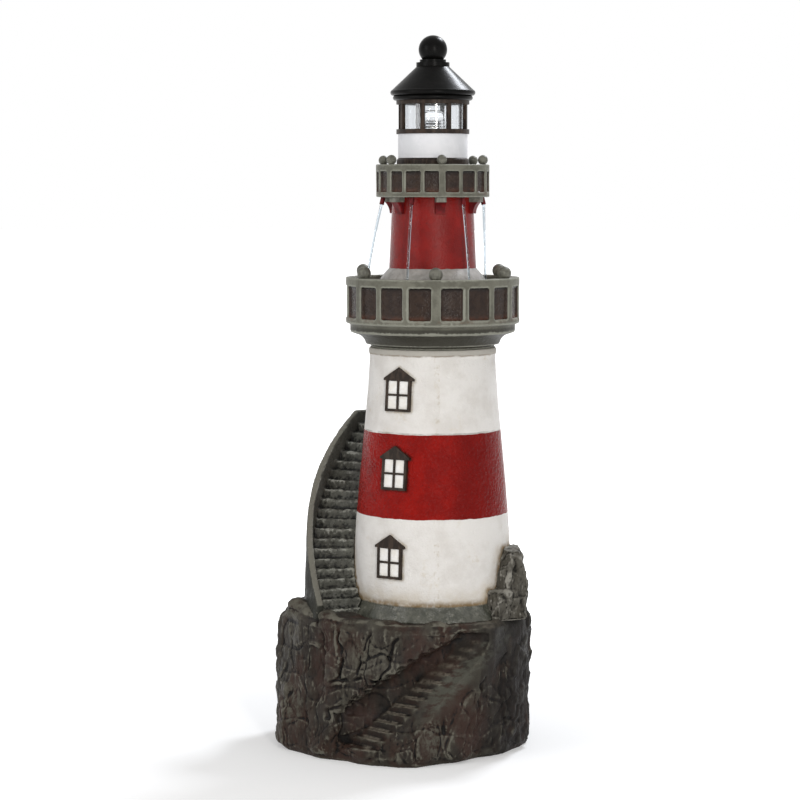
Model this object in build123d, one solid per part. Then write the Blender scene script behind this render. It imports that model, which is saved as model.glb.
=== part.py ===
from build123d import *
import math
import os

os.makedirs("parts", exist_ok=True)

# A lighthouse fountain in cast resin: a hollow rock with the pump, a tower, two galleries and a lit lantern.
# Millimetres, +Z up. The tower axis is the Z axis, the floor is z = 0 and the front faces -Y.
# Angles round the tower are in degrees from the front, positive to the right.

# Clearances
LIFT_GAP = 0.4
PIPE_GAP = 0.1
SHAFT_GAP = 0.06
PANEL_GAP = 0.6
BOLT_GAP = 0.3
BED_GAP = 0.3

# Rock base
ROCK_HEIGHT = 194.0
ROCK_CENTRE_X = -44.5
ROCK_HALF_WIDTH = 183.5
ROCK_FRONT_DEPTH = 160.0
ROCK_BACK_DEPTH = 176.0
ROCK_LEFT_DRAW = 14.0
ROCK_RIGHT_DRAW = 2.0
ROCK_FRONT_DRAW = 12.0
ROCK_BACK_DRAW = 4.0
ROCK_PROW_POWER = 1.55
ROCK_SHOULDER_POWER = 2.3
ROCK_BACK_POWER = 2.4
ROCK_FOOT_ROUND = 9.0
ROCK_BROW_ROUND = 10.0
ROCK_EDGE_HEIGHT = 12.0
ROCK_LUMP = 3.0
ROCK_LUMPS = 5
ROCK_LUMP_TWIST = 4.0
ROCK_LUMP_START = 1.0
ROCK_FLUTE = 3.2
ROCK_FLUTES = 13
ROCK_FLUTE_TWIST = -3.0
ROCK_SIDES = 44
ROCK_BANDS = 5

# Reservoir in the rock
RESERVOIR_FLOOR = 12.0
DECK_THICKNESS = 16.0
RESERVOIR_SIDE_WALL = 17.5
RESERVOIR_FRONT_WALL = 64.0
RESERVOIR_REAR_WALL = 28.0
RESERVOIR_POWER = 2.3
DECK_HOLE_RADIUS = 57.0

# Stair carved into the front of the rock
CARVED_STEPS = 14
CARVED_FOOT_LEFT = 47.5
CARVED_HEAD_RIGHT = 110.5
CARVED_FOOT_RISE = 24.0
CARVED_HEAD_DROP = 25.0
CARVED_FOOT_WIDTH = 66.0
CARVED_HEAD_WIDTH = 29.0
CARVED_FOOT_INSET = 34.0
CARVED_HEAD_INSET = 46.0
CARVED_FOOT_SKEW = 46.0
CARVED_HEAD_SKEW = 20.0
CARVED_FOOT_HEADROOM = 46.0
CARVED_HEAD_HEADROOM = 14.0
CARVED_CEILING_LAP = 4.0
FLANK_HEADROOM = 138.0
CARVED_REACH = 90.0
FLANK_LAP = 5.0
FLANK_SLOPE = 38.0
FLANK_HEADING = 35.0

# Rear access opening and its panel
ACCESS_X = -20.0
ACCESS_WIDTH = 112.0
ACCESS_LOW = 56.0
ACCESS_HEIGHT = 84.0
ACCESS_REBATE = 9.0
ACCESS_LIP = 7.0
GASKET_THICKNESS = 2.0
GASKET_WIDTH = 6.0
GRIP_WIDTH = 40.0
GRIP_HEIGHT = 12.0
GRIP_DEPTH = 10.0

# Cord gland through the rear wall
GLAND_X = -112.0
GLAND_HEIGHT = 46.0
GLAND_FLANGE_RADIUS = 12.0
GLAND_FLANGE_THICKNESS = 4.0
GLAND_SHANK_RADIUS = 8.0
GLAND_BORE_RADIUS = 3.5
GLAND_WALL = 26.0
GLAND_TAIL = 3.0

# Tower
TOWER_HEIGHT = 378.6
TOWER_WALL = 6.0
PLINTH_RADIUS = 121.0
PLINTH_HEIGHT = 22.0
TOWER_FOOT_RADIUS = 108.5
BELLY_RISE = 48.0
BELLY_RADIUS = 112.0
FOOT_BULGE = 0.75
BAND_LOW_RISE = 144.2
BAND_LOW_RADIUS = 107.8
BAND_HIGH_RISE = 261.6
BAND_HIGH_RADIUS = 97.1
NECK_RADIUS = 88.8
COLLAR_RADIUS = 90.6
COLLAR_HEIGHT = 7.8
COLLAR_BORE = 80.0
TOWER_FLANGE_BORE = 60.0
TOWER_FLANGE_THICKNESS = 10.0

# Bolts that hold the tower to the rock deck
BOLT_COUNT = 4
BOLT_CIRCLE_RADIUS = 76.0
BOLT_RADIUS = 3.0
BOLT_HEAD_RADIUS = 5.5
BOLT_HEAD_HEIGHT = 4.0
BOLT_GRIP = 8.0

# Side stair and its parapet
STAIR_FOOT_ANGLE = -62.5
STAIR_TURN = 77.5
STAIR_STEPS = 19
STAIR_FIRST_RISE = 12.0
STAIR_RISE = 244.0
PARAPET_RADIUS = 180.0
PARAPET_THICKNESS = 9.0
PARAPET_FOOT_RISE = 20.0
PARAPET_HEAD_RISE = 275.0
PARAPET_BOW = 14.4
PARAPET_BATTER_WIDTH = 4.0
LANDING_TURN = 18.0
LANDING_FACETS = 4
END_WALL_TURN = 3.0

# Windows and door
UPPER_WINDOW_ANGLE = -30.7
MIDDLE_WINDOW_ANGLE = -30.8
LOWER_WINDOW_ANGLE = -32.0
UPPER_WINDOW_DROP = 62.4
MIDDLE_WINDOW_LIFT = 4.2
LOWER_WINDOW_RISE = 83.4
WINDOW_WIDTH = 39.6
WINDOW_HEIGHT = 46.0
WINDOW_GABLE = 15.6
WINDOW_EAVE = 3.8
WINDOW_EAVE_DROP = 3.0
WINDOW_BORDER = 3.6
WINDOW_BAR = 3.0
WINDOW_RELIEF = 3.2
PANE_RELIEF = 1.2
DOOR_WIDTH = 24.0
DOOR_HEIGHT = 46.0
DOOR_EAVE = 2.0
DOOR_GABLE = 9.0
DOOR_SILL = 3.0
RELIEF_ROOT = 9.0

# Boulder beside the tower: three stones, each set by its plan centre, half width, half depth, rise and top taper
FRONT_STONE_X = 99.0
FRONT_STONE_Y = -65.0
FRONT_STONE_WIDTH = 26.0
FRONT_STONE_DEPTH = 23.0
FRONT_STONE_HEIGHT = 41.0
FRONT_STONE_TAPER_WIDTH = 3.0
FRONT_STONE_TURN = 22.0
TALL_STONE_X = 103.0
TALL_STONE_Y = -37.0
TALL_STONE_WIDTH = 26.0
TALL_STONE_DEPTH = 43.0
TALL_STONE_HEIGHT = 96.0
TALL_STONE_TAPER_WIDTH = 14.0
TALL_STONE_TURN = 14.0
REAR_STONE_X = 113.0
REAR_STONE_Y = 20.0
REAR_STONE_WIDTH = 19.0
REAR_STONE_DEPTH = 28.0
REAR_STONE_HEIGHT = 66.0
REAR_STONE_TAPER_WIDTH = 7.0
REAR_STONE_TURN = -12.0
STONE_LEAN = 8.0
# Each level of a stone: share of its rise, share of its taper and twist
STONE_LEVELS = ((0.0, 0.0, 0.0), (0.45, 0.1, 4.0), (0.8, 0.55, -2.0), (1.0, 1.0, -6.0))
# Corners of a stone in shares of its half width and half depth
STONE_CORNERS = ((-1, -0.6), (-0.6, -1), (0.7, -1), (1, -0.5), (1, 0.7), (0.5, 1), (-0.7, 1), (-1, 0.5))

# Lower gallery, which is the lower basin
SEAM_HEIGHT = 5.0
SEAM_RADIUS = 87.5
CAVETTO_FOOT_RADIUS = 95.0
CAVETTO_HEAD_RADIUS = 108.5
CAVETTO_HEIGHT = 14.4
CAVETTO_HOLLOW_OUT = 0.3
CAVETTO_HOLLOW_UP = 0.6
FILLET_HEIGHT = 2.7
CORNICE_RADIUS = 117.0
CORNICE_HEIGHT = 12.1
LOWER_RADIUS = 123.0
LOWER_WALL = 13.0
LOWER_HEIGHT = 64.9
LOWER_SILL = 8.7
LOWER_RAIL = 11.7
LOWER_RECESS = 4.0
LOWER_POST = 9.0
LOWER_BALL_POST = 13.5
LOWER_FIRST_POST = 2.2
BASIN_FLOOR_RISE = 25.2
BASIN_FLOOR_THICKNESS = 10.0
SPIGOT_DEPTH = 12.0
SPIGOT_WALL = 8.0
UNDERSIDE_WALL = 13.0
DRAIN_COUNT = 6
DRAIN_CIRCLE_RADIUS = 98.5
DRAIN_RADIUS = 5.0
LOWER_BALL_RADIUS = 9.7
LOWER_BALL_CIRCLE_RADIUS = 113.0
LOWER_BALL_LIFT = 7.0

# Panels and balls on both galleries
GALLERY_POSTS = 18
BALL_EVERY = 3

# Upper tower
UPPER_TOWER_HEIGHT = 152.5
FLARE_HEIGHT = 52.6
FLARE_FOOT_RADIUS = 88.0
FLARE_MID_RADIUS = 75.0
FLARE_MID_RISE = 36.0
UPPER_FOOT_RADIUS = 61.8
UPPER_HEAD_RADIUS = 57.0
UPPER_WALL = 6.0

# Upper gallery, which is the upper trough
UPPER_RADIUS = 80.0
UPPER_GALLERY_WALL = 7.5
UPPER_HEIGHT = 45.7
UPPER_SILL = 7.0
UPPER_RAIL = 9.6
UPPER_RECESS = 3.0
UPPER_POST = 5.5
UPPER_BALL_POST = 9.0
UPPER_FIRST_POST = 9.7
TROUGH_FLOOR = 8.5
REGISTER_DEPTH = 8.0
REGISTER_WALL = 6.0
UPPER_BALL_RADIUS = 7.0
UPPER_BALL_CIRCLE_RADIUS = 74.8
UPPER_BALL_LIFT = 6.0

# Brackets under the upper gallery
BRACKET_COUNT = 6
BRACKET_WIDTH = 13.6
BRACKET_REACH = 73.0
BRACKET_CAP = 7.0
BRACKET_STEP = 3.0
BRACKET_DROP = 16.0
BRACKET_TOE = 5.5
BRACKET_HOLLOW_OUT = 0.3
BRACKET_HOLLOW_UP = 0.55

# Water spouts
SPOUT_COUNT = 6
SPOUT_FIRST_ANGLE = -24.0
SPOUT_TOP_RADIUS = 68.2
SPOUT_TILT = 13.0
SPOUT_RADIUS = 3.25
SPOUT_BORE = 2.2
SPOUT_DROP = 11.0

# Plumbing
PIPE_RADIUS = 8.0
PIPE_BORE = 6.0
SOCKET_WALL = 2.5
SOCKET_BELOW_FLOOR = 50.0
SOCKET_DEPTH = 26.0
SOCKET_FLANGE_RADIUS = 18.0
SOCKET_FLANGE_THICKNESS = 3.0
MANIFOLD_RADIUS = 14.0
MANIFOLD_HEIGHT = 22.0
MANIFOLD_SOCKET = 10.0
MANIFOLD_OUTLETS = 3
MANIFOLD_FIRST_ANGLE = 60.0
OUTLET_RISE = 14.0
OUTLET_RADIUS = 4.0
OUTLET_BORE = 2.6

# Lantern
FOOT_RING_RADIUS = 51.0
FOOT_RING_WALL = 7.0
FOOT_RING_HEIGHT = 46.3
FOOT_RING_ROUND = 4.0
DRUM_RADIUS = 49.0
DRUM_WALL = 6.0
DRUM_HEIGHT = 33.7
DRUM_SPIGOT = 8.0
LAMP_LEDGE = 9.0
LAMP_LEDGE_WIDTH = 4.0
LANTERN_RADIUS = 51.5
LANTERN_WALL = 6.5
LANTERN_HEIGHT = 47.0
LANTERN_SILL = 6.4
LANTERN_HEAD = 5.6
LANTERN_POSTS = 8
LANTERN_FIRST_POST = -17.3
LANTERN_POST_WIDTH = 5.6
LANTERN_POST_SETBACK = 1.5
GLAZING_THICKNESS = 2.0
GLAZING_SHORT = 2.0
LAMP_BASE_THICKNESS = 6.0
LED_BOARD_RADIUS = 13.0
LED_BOARD_THICKNESS = 1.6
LED_CHIP_RADIUS = 4.3
LED_CHIP_HEIGHT = 1.6
LAMP_LENS_RADIUS = 18.0
LAMP_LENS_WALL = 4.0
LAMP_LENS_HEIGHT = 36.0
LAMP_LENS_DOME = 10.0
LAMP_LENS_GROOVES = 5
LAMP_LENS_GROOVE_DEPTH = 1.2

# Roof and finial
ROOF_LIP_DEPTH = 6.0
ROOF_LIP_WALL = 4.0
LOWER_BEAD_RADIUS = 56.3
LOWER_BEAD_HEIGHT = 7.0
EAVE_RADIUS = 59.9
EAVE_HEIGHT = 7.6
BEAD_CROWN = 2.4
CONE_HEIGHT = 32.9
CONE_HEAD_RADIUS = 22.7
ROOF_COLLAR_RADIUS = 23.4
ROOF_COLLAR_HEIGHT = 5.5
ROOF_NECK_RADIUS = 18.5
ROOF_NECK_HEIGHT = 4.0
ROOF_CEILING = 11.0
ROOF_HOLLOW_HEAD_RADIUS = 14.0
ROOF_HOLLOW_SHOULDER = 12.0
FINIAL_RADIUS = 20.1
FINIAL_LIFT = 14.0
SCREW_RADIUS = 2.0
SCREW_HEAD_RADIUS = 4.0
SCREW_HEAD_HEIGHT = 3.0
SCREW_BITE = 10.0

# Pump, which lies along Y with its outlet on the tower axis
CUP_HEIGHT = 6.0
CUP_FOOT_RADIUS = 8.0
CUP_NECK_RADIUS = 4.0
PUMP_WIDTH = 46.0
PUMP_HEIGHT = 40.0
PUMP_FRONT = 48.0
PUMP_REAR = 16.0
ROTOR_WELL_RADIUS = 9.5
ROTOR_WELL_LENGTH = 30.0
CHAMBER_RADIUS = 15.0
CHAMBER_FRONT = 8.0
ROTOR_GAP = 0.8
IMPELLER_DISC = 2.0
IMPELLER_VANES = 6
VANE_HEIGHT = 15.0
VANE_THICKNESS = 1.8
IMPELLER_HUB_RADIUS = 4.0
SHAFT_RADIUS = 1.5
SHAFT_BITE = 4.0
COVER_THICKNESS = 3.0
INTAKE_RADIUS = 9.0
SPIDER_RADIUS = 3.6
SPIDER_ARM = 2.0
SPIDER_LAP = 2.8
NIPPLE_PORT_RADIUS = 7.5
NIPPLE_PORT_DEPTH = 5.0
NIPPLE_FLANGE_RADIUS = 10.5
NIPPLE_FLANGE_THICKNESS = 3.0
NIPPLE_LENGTH = 15.0
NIPPLE_BORE = 4.0
STRAINER_LENGTH = 18.0
STRAINER_WALL = 2.5
STRAINER_SLOTS = 6
STRAINER_SLOT_WIDTH = 2.6
STRAINER_SLOT_HEIGHT = 24.0
DIAL_RADIUS = 7.0
DIAL_THICKNESS = 5.0
DIAL_STEM_RADIUS = 3.0
DIAL_GATE_RADIUS = 6.0
DIAL_GATE_THICKNESS = 2.0
DIAL_GRIP = 2.4
DIAL_POINTER = 0.8
DIAL_OFFSET_X = 12.5

# Places where the sections meet
DECK_Z = ROCK_HEIGHT
CROWN_Z = DECK_Z + TOWER_HEIGHT
LOWER_Z = CROWN_Z + SEAM_HEIGHT + CAVETTO_HEIGHT + FILLET_HEIGHT + CORNICE_HEIGHT
BASIN_Z = LOWER_Z + BASIN_FLOOR_RISE
UPPER_Z = BASIN_Z + UPPER_TOWER_HEIGHT
TROUGH_Z = UPPER_Z + TROUGH_FLOOR
DRUM_Z = TROUGH_Z + FOOT_RING_HEIGHT
LANTERN_Z = DRUM_Z + DRUM_HEIGHT
LAMP_Z = LANTERN_Z - LAMP_LEDGE + LAMP_BASE_THICKNESS
ROOF_Z = LANTERN_Z + LANTERN_HEIGHT
CONE_Z = ROOF_Z + LOWER_BEAD_HEIGHT + EAVE_HEIGHT
NECK_Z = CONE_Z + CONE_HEIGHT + ROOF_COLLAR_HEIGHT + ROOF_NECK_HEIGHT
PUMP_Z = RESERVOIR_FLOOR + CUP_HEIGHT
PUMP_AXIS_Z = PUMP_Z + PUMP_HEIGHT / 2
NIPPLE_SEAT_Z = PUMP_Z + PUMP_HEIGHT + NIPPLE_FLANGE_THICKNESS
RESERVOIR_HALF_WIDTH = ROCK_HALF_WIDTH - ROCK_LEFT_DRAW - RESERVOIR_SIDE_WALL
RESERVOIR_FRONT = ROCK_FRONT_DEPTH - ROCK_FRONT_DRAW - RESERVOIR_FRONT_WALL
RESERVOIR_BACK = ROCK_BACK_DEPTH - ROCK_BACK_DRAW - RESERVOIR_REAR_WALL
CARVED_FOOT = (ROCK_CENTRE_X - CARVED_FOOT_LEFT, CARVED_FOOT_INSET - ROCK_FRONT_DEPTH, CARVED_FOOT_RISE)
CARVED_HEAD = (ROCK_CENTRE_X + CARVED_HEAD_RIGHT, CARVED_HEAD_INSET - ROCK_FRONT_DEPTH, DECK_Z - CARVED_HEAD_DROP)
BAND_MIDDLE_RISE = (BAND_LOW_RISE + BAND_HIGH_RISE) / 2
WINDOWS = (
    (UPPER_WINDOW_ANGLE, CROWN_Z - UPPER_WINDOW_DROP),
    (MIDDLE_WINDOW_ANGLE, DECK_Z + BAND_MIDDLE_RISE + MIDDLE_WINDOW_LIFT),
    (LOWER_WINDOW_ANGLE, DECK_Z + LOWER_WINDOW_RISE),
)
ACCESS_SEAT_Y = RESERVOIR_BACK + ACCESS_LIP
STRAINER_Y = PUMP_REAR + COVER_THICKNESS
STRAINER_END_Y = STRAINER_Y + STRAINER_LENGTH
STEP_TURN = STAIR_TURN / STAIR_STEPS
GLAZING_RADIUS = LANTERN_RADIUS - LANTERN_WALL - LIFT_GAP
FAR = 400.0
LINE_STEP = 1e-6
SLOPE_SPAN = 1.0


def polar(angle, radius, z=0.0):
    """Point at an angle from the front and a distance from the tower axis."""
    turn = math.radians(angle)
    return (radius * math.sin(turn), -radius * math.cos(turn), z)


def mix(first, last, share):
    """Value part of the way from one size to another."""
    return first + (last - first) * share


def turned(*points):
    """Solid turned about the tower axis from a closed outline of (radius, height) corners."""
    outline = Polyline(*[(r, 0, z) for r, z in points], close=True)
    return revolve(make_face(outline), Axis.Z)


def turned_edges(*edges):
    """Solid turned about the tower axis from edges that close an outline."""
    return revolve(make_face(list(edges)), Axis.Z)


def run(*points):
    """Straight edges through (radius, height) corners."""
    return Polyline(*[(r, 0, z) for r, z in points])


def bow(start, middle, end):
    """Arc through three (radius, height) points."""
    return ThreePointArc(*[(r, 0, z) for r, z in (start, middle, end)])


def tube(outer, inner, low, high):
    """Plain pipe on the tower axis."""
    return turned((inner, low), (outer, low), (outer, high), (inner, high))


def along_y(radius, start, end, x=0.0, z=PUMP_AXIS_Z):
    """Round bar along +Y."""
    return Plane((x, start, z), x_dir=(1, 0, 0), z_dir=(0, 1, 0)) * Cylinder(
        radius, end - start, align=(Align.CENTER, Align.CENTER, Align.MIN))


def block(x_low, x_high, y_low, y_high, z_low, z_high):
    """Box between two corners."""
    return Pos(x_low, y_low, z_low) * Box(
        x_high - x_low, y_high - y_low, z_high - z_low, align=(Align.MIN, Align.MIN, Align.MIN))


def faceted(rings):
    """Closed solid with flat triangles between rings of points, and a flat face on the first and the last."""
    faces = [Face(Wire.make_polygon(ring, close=True)) for ring in (rings[0], rings[-1])]
    sides = len(rings[0])
    for low, high in zip(rings, rings[1:]):
        for here in range(sides):
            after = (here + 1) % sides
            faces.append(Face(Wire.make_polygon([low[here], low[after], high[after]], close=True)))
            faces.append(Face(Wire.make_polygon([low[here], high[after], high[here]], close=True)))
    return Part() + Solid(Shell(faces))


def oval_reach(turn, half_width, front, back, power):
    """Reach of a rounded oval from its centre, in the direction of a plan angle in radians."""
    depth = back if math.sin(turn) > 0 else front
    across = (abs(math.cos(turn)) / half_width) ** power
    along = (abs(math.sin(turn)) / depth) ** power
    return (across + along) ** (-1 / power)


def rock_power(turn, rise):
    """Squareness of the rock's outline: full at the back, pointed at the front, with a full right shoulder."""
    if math.sin(turn) > 0:
        return ROCK_BACK_POWER
    if math.cos(turn) > 0:
        return mix(ROCK_PROW_POWER, ROCK_SHOULDER_POWER, rise)
    return ROCK_PROW_POWER


def rock_ring(z, inset):
    """Outline of the rock at one height, with broad lumps and narrow upright ridges."""
    rise = z / ROCK_HEIGHT
    ring = []
    for side in range(ROCK_SIDES):
        turn = 2 * math.pi * side / ROCK_SIDES
        draw = ROCK_RIGHT_DRAW if math.cos(turn) > 0 else ROCK_LEFT_DRAW
        reach = oval_reach(turn, ROCK_HALF_WIDTH - draw * rise, ROCK_FRONT_DEPTH - ROCK_FRONT_DRAW * rise,
                           ROCK_BACK_DEPTH - ROCK_BACK_DRAW * rise, rock_power(turn, rise))
        lump = ROCK_LUMP * math.cos(ROCK_LUMPS * turn + ROCK_LUMP_TWIST * rise + ROCK_LUMP_START)
        flute = ROCK_FLUTE * math.cos(ROCK_FLUTES * turn + ROCK_FLUTE_TWIST * rise)
        radius = reach - inset + lump + flute
        ring.append((ROCK_CENTRE_X + radius * math.cos(turn), radius * math.sin(turn), z))
    return ring


def rock_mass():
    """Rock before anything is carved: lumpy sides that lean in, a rounded foot and a rounded brow."""
    top = ROCK_HEIGHT - ROCK_EDGE_HEIGHT
    rings = [rock_ring(0, ROCK_FOOT_ROUND)]
    for band in range(ROCK_BANDS + 1):
        rings.append(rock_ring(mix(ROCK_EDGE_HEIGHT, top, band / ROCK_BANDS), 0))
    rings.append(rock_ring(ROCK_HEIGHT, ROCK_BROW_ROUND))
    return faceted(rings)


def carved_step_plane(step):
    """Plane of a carved tread: x along its nosing, y into the rock, origin at the middle of its back edge."""
    share = step / (CARVED_STEPS - 1)
    skew = math.radians(mix(CARVED_FOOT_SKEW, CARVED_HEAD_SKEW, share))
    origin = [mix(foot, head, share) for foot, head in zip(CARVED_FOOT, CARVED_HEAD)]
    return Plane(origin, x_dir=(math.cos(skew), -math.sin(skew), 0), z_dir=(0, 0, 1))


def carved_width(step):
    """Width of a carved tread along its nosing."""
    return mix(CARVED_FOOT_WIDTH, CARVED_HEAD_WIDTH, step / (CARVED_STEPS - 1))


def carved_end(step, along):
    """Point on the back edge of a carved tread, along it from the middle."""
    return carved_step_plane(step).from_local_coords((along, 0, 0))


def carved_stair():
    """What is carved out of the rock for the stair up its front, and the smooth flank to the right of it."""
    cut = Part()
    flank = []
    ceiling = []
    heading = math.radians(FLANK_HEADING)
    out = Vector(math.sin(heading), -math.cos(heading), -math.tan(math.radians(FLANK_SLOPE)))
    for step in range(CARVED_STEPS):
        room = Vector(0, 0, mix(CARVED_FOOT_HEADROOM, CARVED_HEAD_HEADROOM, step / (CARVED_STEPS - 1)))
        left = carved_end(step, -carved_width(step) / 2)
        right = carved_end(step, carved_width(step) / 2)
        below = carved_end(step - 1, -carved_width(step - 1) / 2)
        start = Vector(below.X, below.Y, left.Z)
        away = carved_step_plane(step).y_dir * -CARVED_REACH
        outline = Polyline(start, left, right, right + away, start + away, close=True)
        cut += extrude(make_face(outline), room.Z, dir=(0, 0, 1))
        corner = carved_end(step, carved_width(step) / 2 - FLANK_LAP)
        outer = corner + out * CARVED_REACH
        flank.append([corner, outer, outer + Vector(0, 0, FLANK_HEADROOM), corner + room])
        lap = room - Vector(0, 0, CARVED_CEILING_LAP)
        ceiling.append([left + lap, left + away + lap, left + away + room, left + room])
    for rings in (flank, ceiling):
        cut += faceted([[tuple(point) for point in ring] for ring in rings])
    return cut


def reservoir():
    """Water space inside the rock, under the deck."""
    ring = []
    for side in range(ROCK_SIDES):
        turn = 2 * math.pi * side / ROCK_SIDES
        radius = oval_reach(
            turn, RESERVOIR_HALF_WIDTH, RESERVOIR_FRONT, RESERVOIR_BACK, RESERVOIR_POWER)
        ring.append((ROCK_CENTRE_X + radius * math.cos(turn), radius * math.sin(turn)))
    height = ROCK_HEIGHT - DECK_THICKNESS - RESERVOIR_FLOOR
    return Pos(0, 0, RESERVOIR_FLOOR) * extrude(make_face(Polyline(*ring, close=True)), height)


def access_box(margin, start, end):
    """Box through the rear opening, drawn in on all sides by a margin."""
    half = ACCESS_WIDTH / 2 - margin
    return block(ACCESS_X - half, ACCESS_X + half, start, end,
                 ACCESS_LOW + margin, ACCESS_LOW + ACCESS_HEIGHT - margin)


def gland_seat():
    """Where the flat seat of the cord gland lies, outside the rear wall of the water space."""
    across = abs(GLAND_X - ROCK_CENTRE_X) / RESERVOIR_HALF_WIDTH
    inside = RESERVOIR_BACK * (1 - across ** RESERVOIR_POWER) ** (1 / RESERVOIR_POWER)
    return inside + GLAND_WALL


def bolt_points():
    """Places of the tower bolts."""
    return [polar(360 * (bolt + 0.5) / BOLT_COUNT, BOLT_CIRCLE_RADIUS) for bolt in range(BOLT_COUNT)]


def rock_base():
    """Hollow rock with its deck, carved stair, rear opening and gland hole."""
    rock = rock_mass() - carved_stair() - reservoir()
    rock -= tube(DECK_HOLE_RADIUS, 0, RESERVOIR_FLOOR + DECK_THICKNESS, ROCK_HEIGHT + DECK_THICKNESS)
    rock -= access_box(0, ACCESS_SEAT_Y, FAR)
    rock -= access_box(ACCESS_REBATE, 0, ACCESS_SEAT_Y + ACCESS_LIP)
    seat = gland_seat()
    rock -= along_y(GLAND_SHANK_RADIUS + PIPE_GAP, 0, FAR, GLAND_X, GLAND_HEIGHT)
    rock -= along_y(GLAND_FLANGE_RADIUS + PANEL_GAP, seat, FAR, GLAND_X, GLAND_HEIGHT)
    for x, y, z in bolt_points():
        rock -= Pos(x, y, ROCK_HEIGHT) * Cylinder(BOLT_RADIUS + BOLT_GAP, 3 * DECK_THICKNESS)
    return rock


def access_panel():
    """Plug of rock that closes the rear opening, with a finger grip in its face."""
    inner = ACCESS_SEAT_Y + GASKET_THICKNESS
    panel = rock_mass() & access_box(PANEL_GAP, inner, FAR)
    middle = ACCESS_LOW + ACCESS_HEIGHT / 2
    return panel - block(ACCESS_X - GRIP_WIDTH / 2, ACCESS_X + GRIP_WIDTH / 2, ROCK_BACK_DEPTH - ROCK_BACK_DRAW - GRIP_DEPTH, FAR,
                         middle - GRIP_HEIGHT / 2, middle + GRIP_HEIGHT / 2)


def panel_gasket():
    """Flat rubber frame between the panel and the rebate."""
    end = ACCESS_SEAT_Y + GASKET_THICKNESS
    return access_box(PANEL_GAP, ACCESS_SEAT_Y, end) - access_box(PANEL_GAP + GASKET_WIDTH, 0, FAR)


def cord_gland():
    """Rubber gland with the bore for the low-voltage cord."""
    seat = gland_seat()
    tail = seat - GLAND_WALL - GLAND_TAIL
    gland = along_y(GLAND_SHANK_RADIUS, tail, seat, GLAND_X, GLAND_HEIGHT)
    gland += along_y(GLAND_FLANGE_RADIUS, seat, seat + GLAND_FLANGE_THICKNESS, GLAND_X, GLAND_HEIGHT)
    return gland - along_y(GLAND_BORE_RADIUS, 0, FAR, GLAND_X, GLAND_HEIGHT)


TOWER_STATIONS = (
    (BELLY_RADIUS, DECK_Z + BELLY_RISE),
    (BAND_LOW_RADIUS, DECK_Z + BAND_LOW_RISE),
    (BAND_HIGH_RADIUS, DECK_Z + BAND_HIGH_RISE),
    (NECK_RADIUS, CROWN_Z - COLLAR_HEIGHT),
)


def tower_wall_line(inset):
    """Line of the tower wall from the belly to the collar, set in from the outer face."""
    return Spline(*[(r - inset, 0, z) for r, z in TOWER_STATIONS])


WALL_LINE = tower_wall_line(0)


def tower_radius(z):
    """Outer radius of the tower wall at a height, found by halving along its line."""
    low = 0.0
    high = 1.0
    while high - low > LINE_STEP:
        middle = (low + high) / 2
        if WALL_LINE.position_at(middle).Z < z:
            low = middle
        else:
            high = middle
    return WALL_LINE.position_at(low).X


def tower_envelope(margin):
    """Tower without its hollow, grown all round by a margin."""
    plinth_z = DECK_Z + PLINTH_HEIGHT
    stations = [(r + margin, z) for r, z in TOWER_STATIONS]
    foot = (TOWER_FOOT_RADIUS + margin, plinth_z)
    bulge = (mix(foot[0], stations[0][0], FOOT_BULGE), mix(plinth_z, stations[0][1], 0.5))
    collar = COLLAR_RADIUS + margin
    return turned_edges(
        run((0, CROWN_Z), (0, DECK_Z), (PLINTH_RADIUS + margin, DECK_Z), foot),
        bow(foot, bulge, stations[0]),
        tower_wall_line(-margin),
        run(stations[-1], (collar, stations[-1][1]), (collar, CROWN_Z), (0, CROWN_Z)),
    )


BEDDED_TOWER = tower_envelope(BED_GAP)


def tower_shell():
    """Hollow tower with a foot flange for the bolts and a collar that carries the crown."""
    belly = TOWER_STATIONS[0]
    neck = TOWER_STATIONS[-1]
    flange = DECK_Z + TOWER_FLANGE_THICKNESS
    foot = TOWER_FOOT_RADIUS - TOWER_WALL
    hollow = turned_edges(
        run((0, neck[1]), (0, flange), (foot, flange), (belly[0] - TOWER_WALL, belly[1])),
        tower_wall_line(TOWER_WALL),
        run((neck[0] - TOWER_WALL, neck[1]), (0, neck[1])),
    )
    shell = tower_envelope(0) - hollow
    shell -= tube(COLLAR_BORE, 0, neck[1] - TOWER_WALL, CROWN_Z + TOWER_WALL)
    shell -= tube(TOWER_FLANGE_BORE, 0, DECK_Z - TOWER_WALL, flange + TOWER_WALL)
    for x, y, z in bolt_points():
        shell -= Pos(x, y, DECK_Z) * Cylinder(BOLT_RADIUS + SHAFT_GAP, 2 * BOLT_GRIP)
    return shell


def tower_bolts():
    """Bolts up through the deck into the tower flange, with their heads under the deck."""
    low = DECK_Z - DECK_THICKNESS
    shank = low - BOLT_HEAD_HEIGHT
    bolts = []
    for x, y, z in bolt_points():
        head = Pos(x, y, shank) * Cylinder(
            BOLT_HEAD_RADIUS, BOLT_HEAD_HEIGHT, align=(Align.CENTER, Align.CENTER, Align.MIN))
        bolts.append(head + Pos(x, y, shank) * Cylinder(
            BOLT_RADIUS, DECK_Z + BOLT_GRIP - shank, align=(Align.CENTER, Align.CENTER, Align.MIN)))
    return Compound(children=bolts)


def parapet_top(share):
    """Height of the parapet's cap, part of the way up the stair."""
    climb = mix(PARAPET_FOOT_RISE, PARAPET_HEAD_RISE, share)
    return DECK_Z + climb + 4 * PARAPET_BOW * share * (1 - share)


def sector(first, last, inner, outer, low, high):
    """Upright wedge between two angles and two radii."""
    corners = [polar(first, inner), polar(first, outer), polar(last, outer), polar(last, inner)]
    return Pos(0, 0, low) * extrude(make_face(Polyline(*corners, close=True)), high - low)


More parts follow.
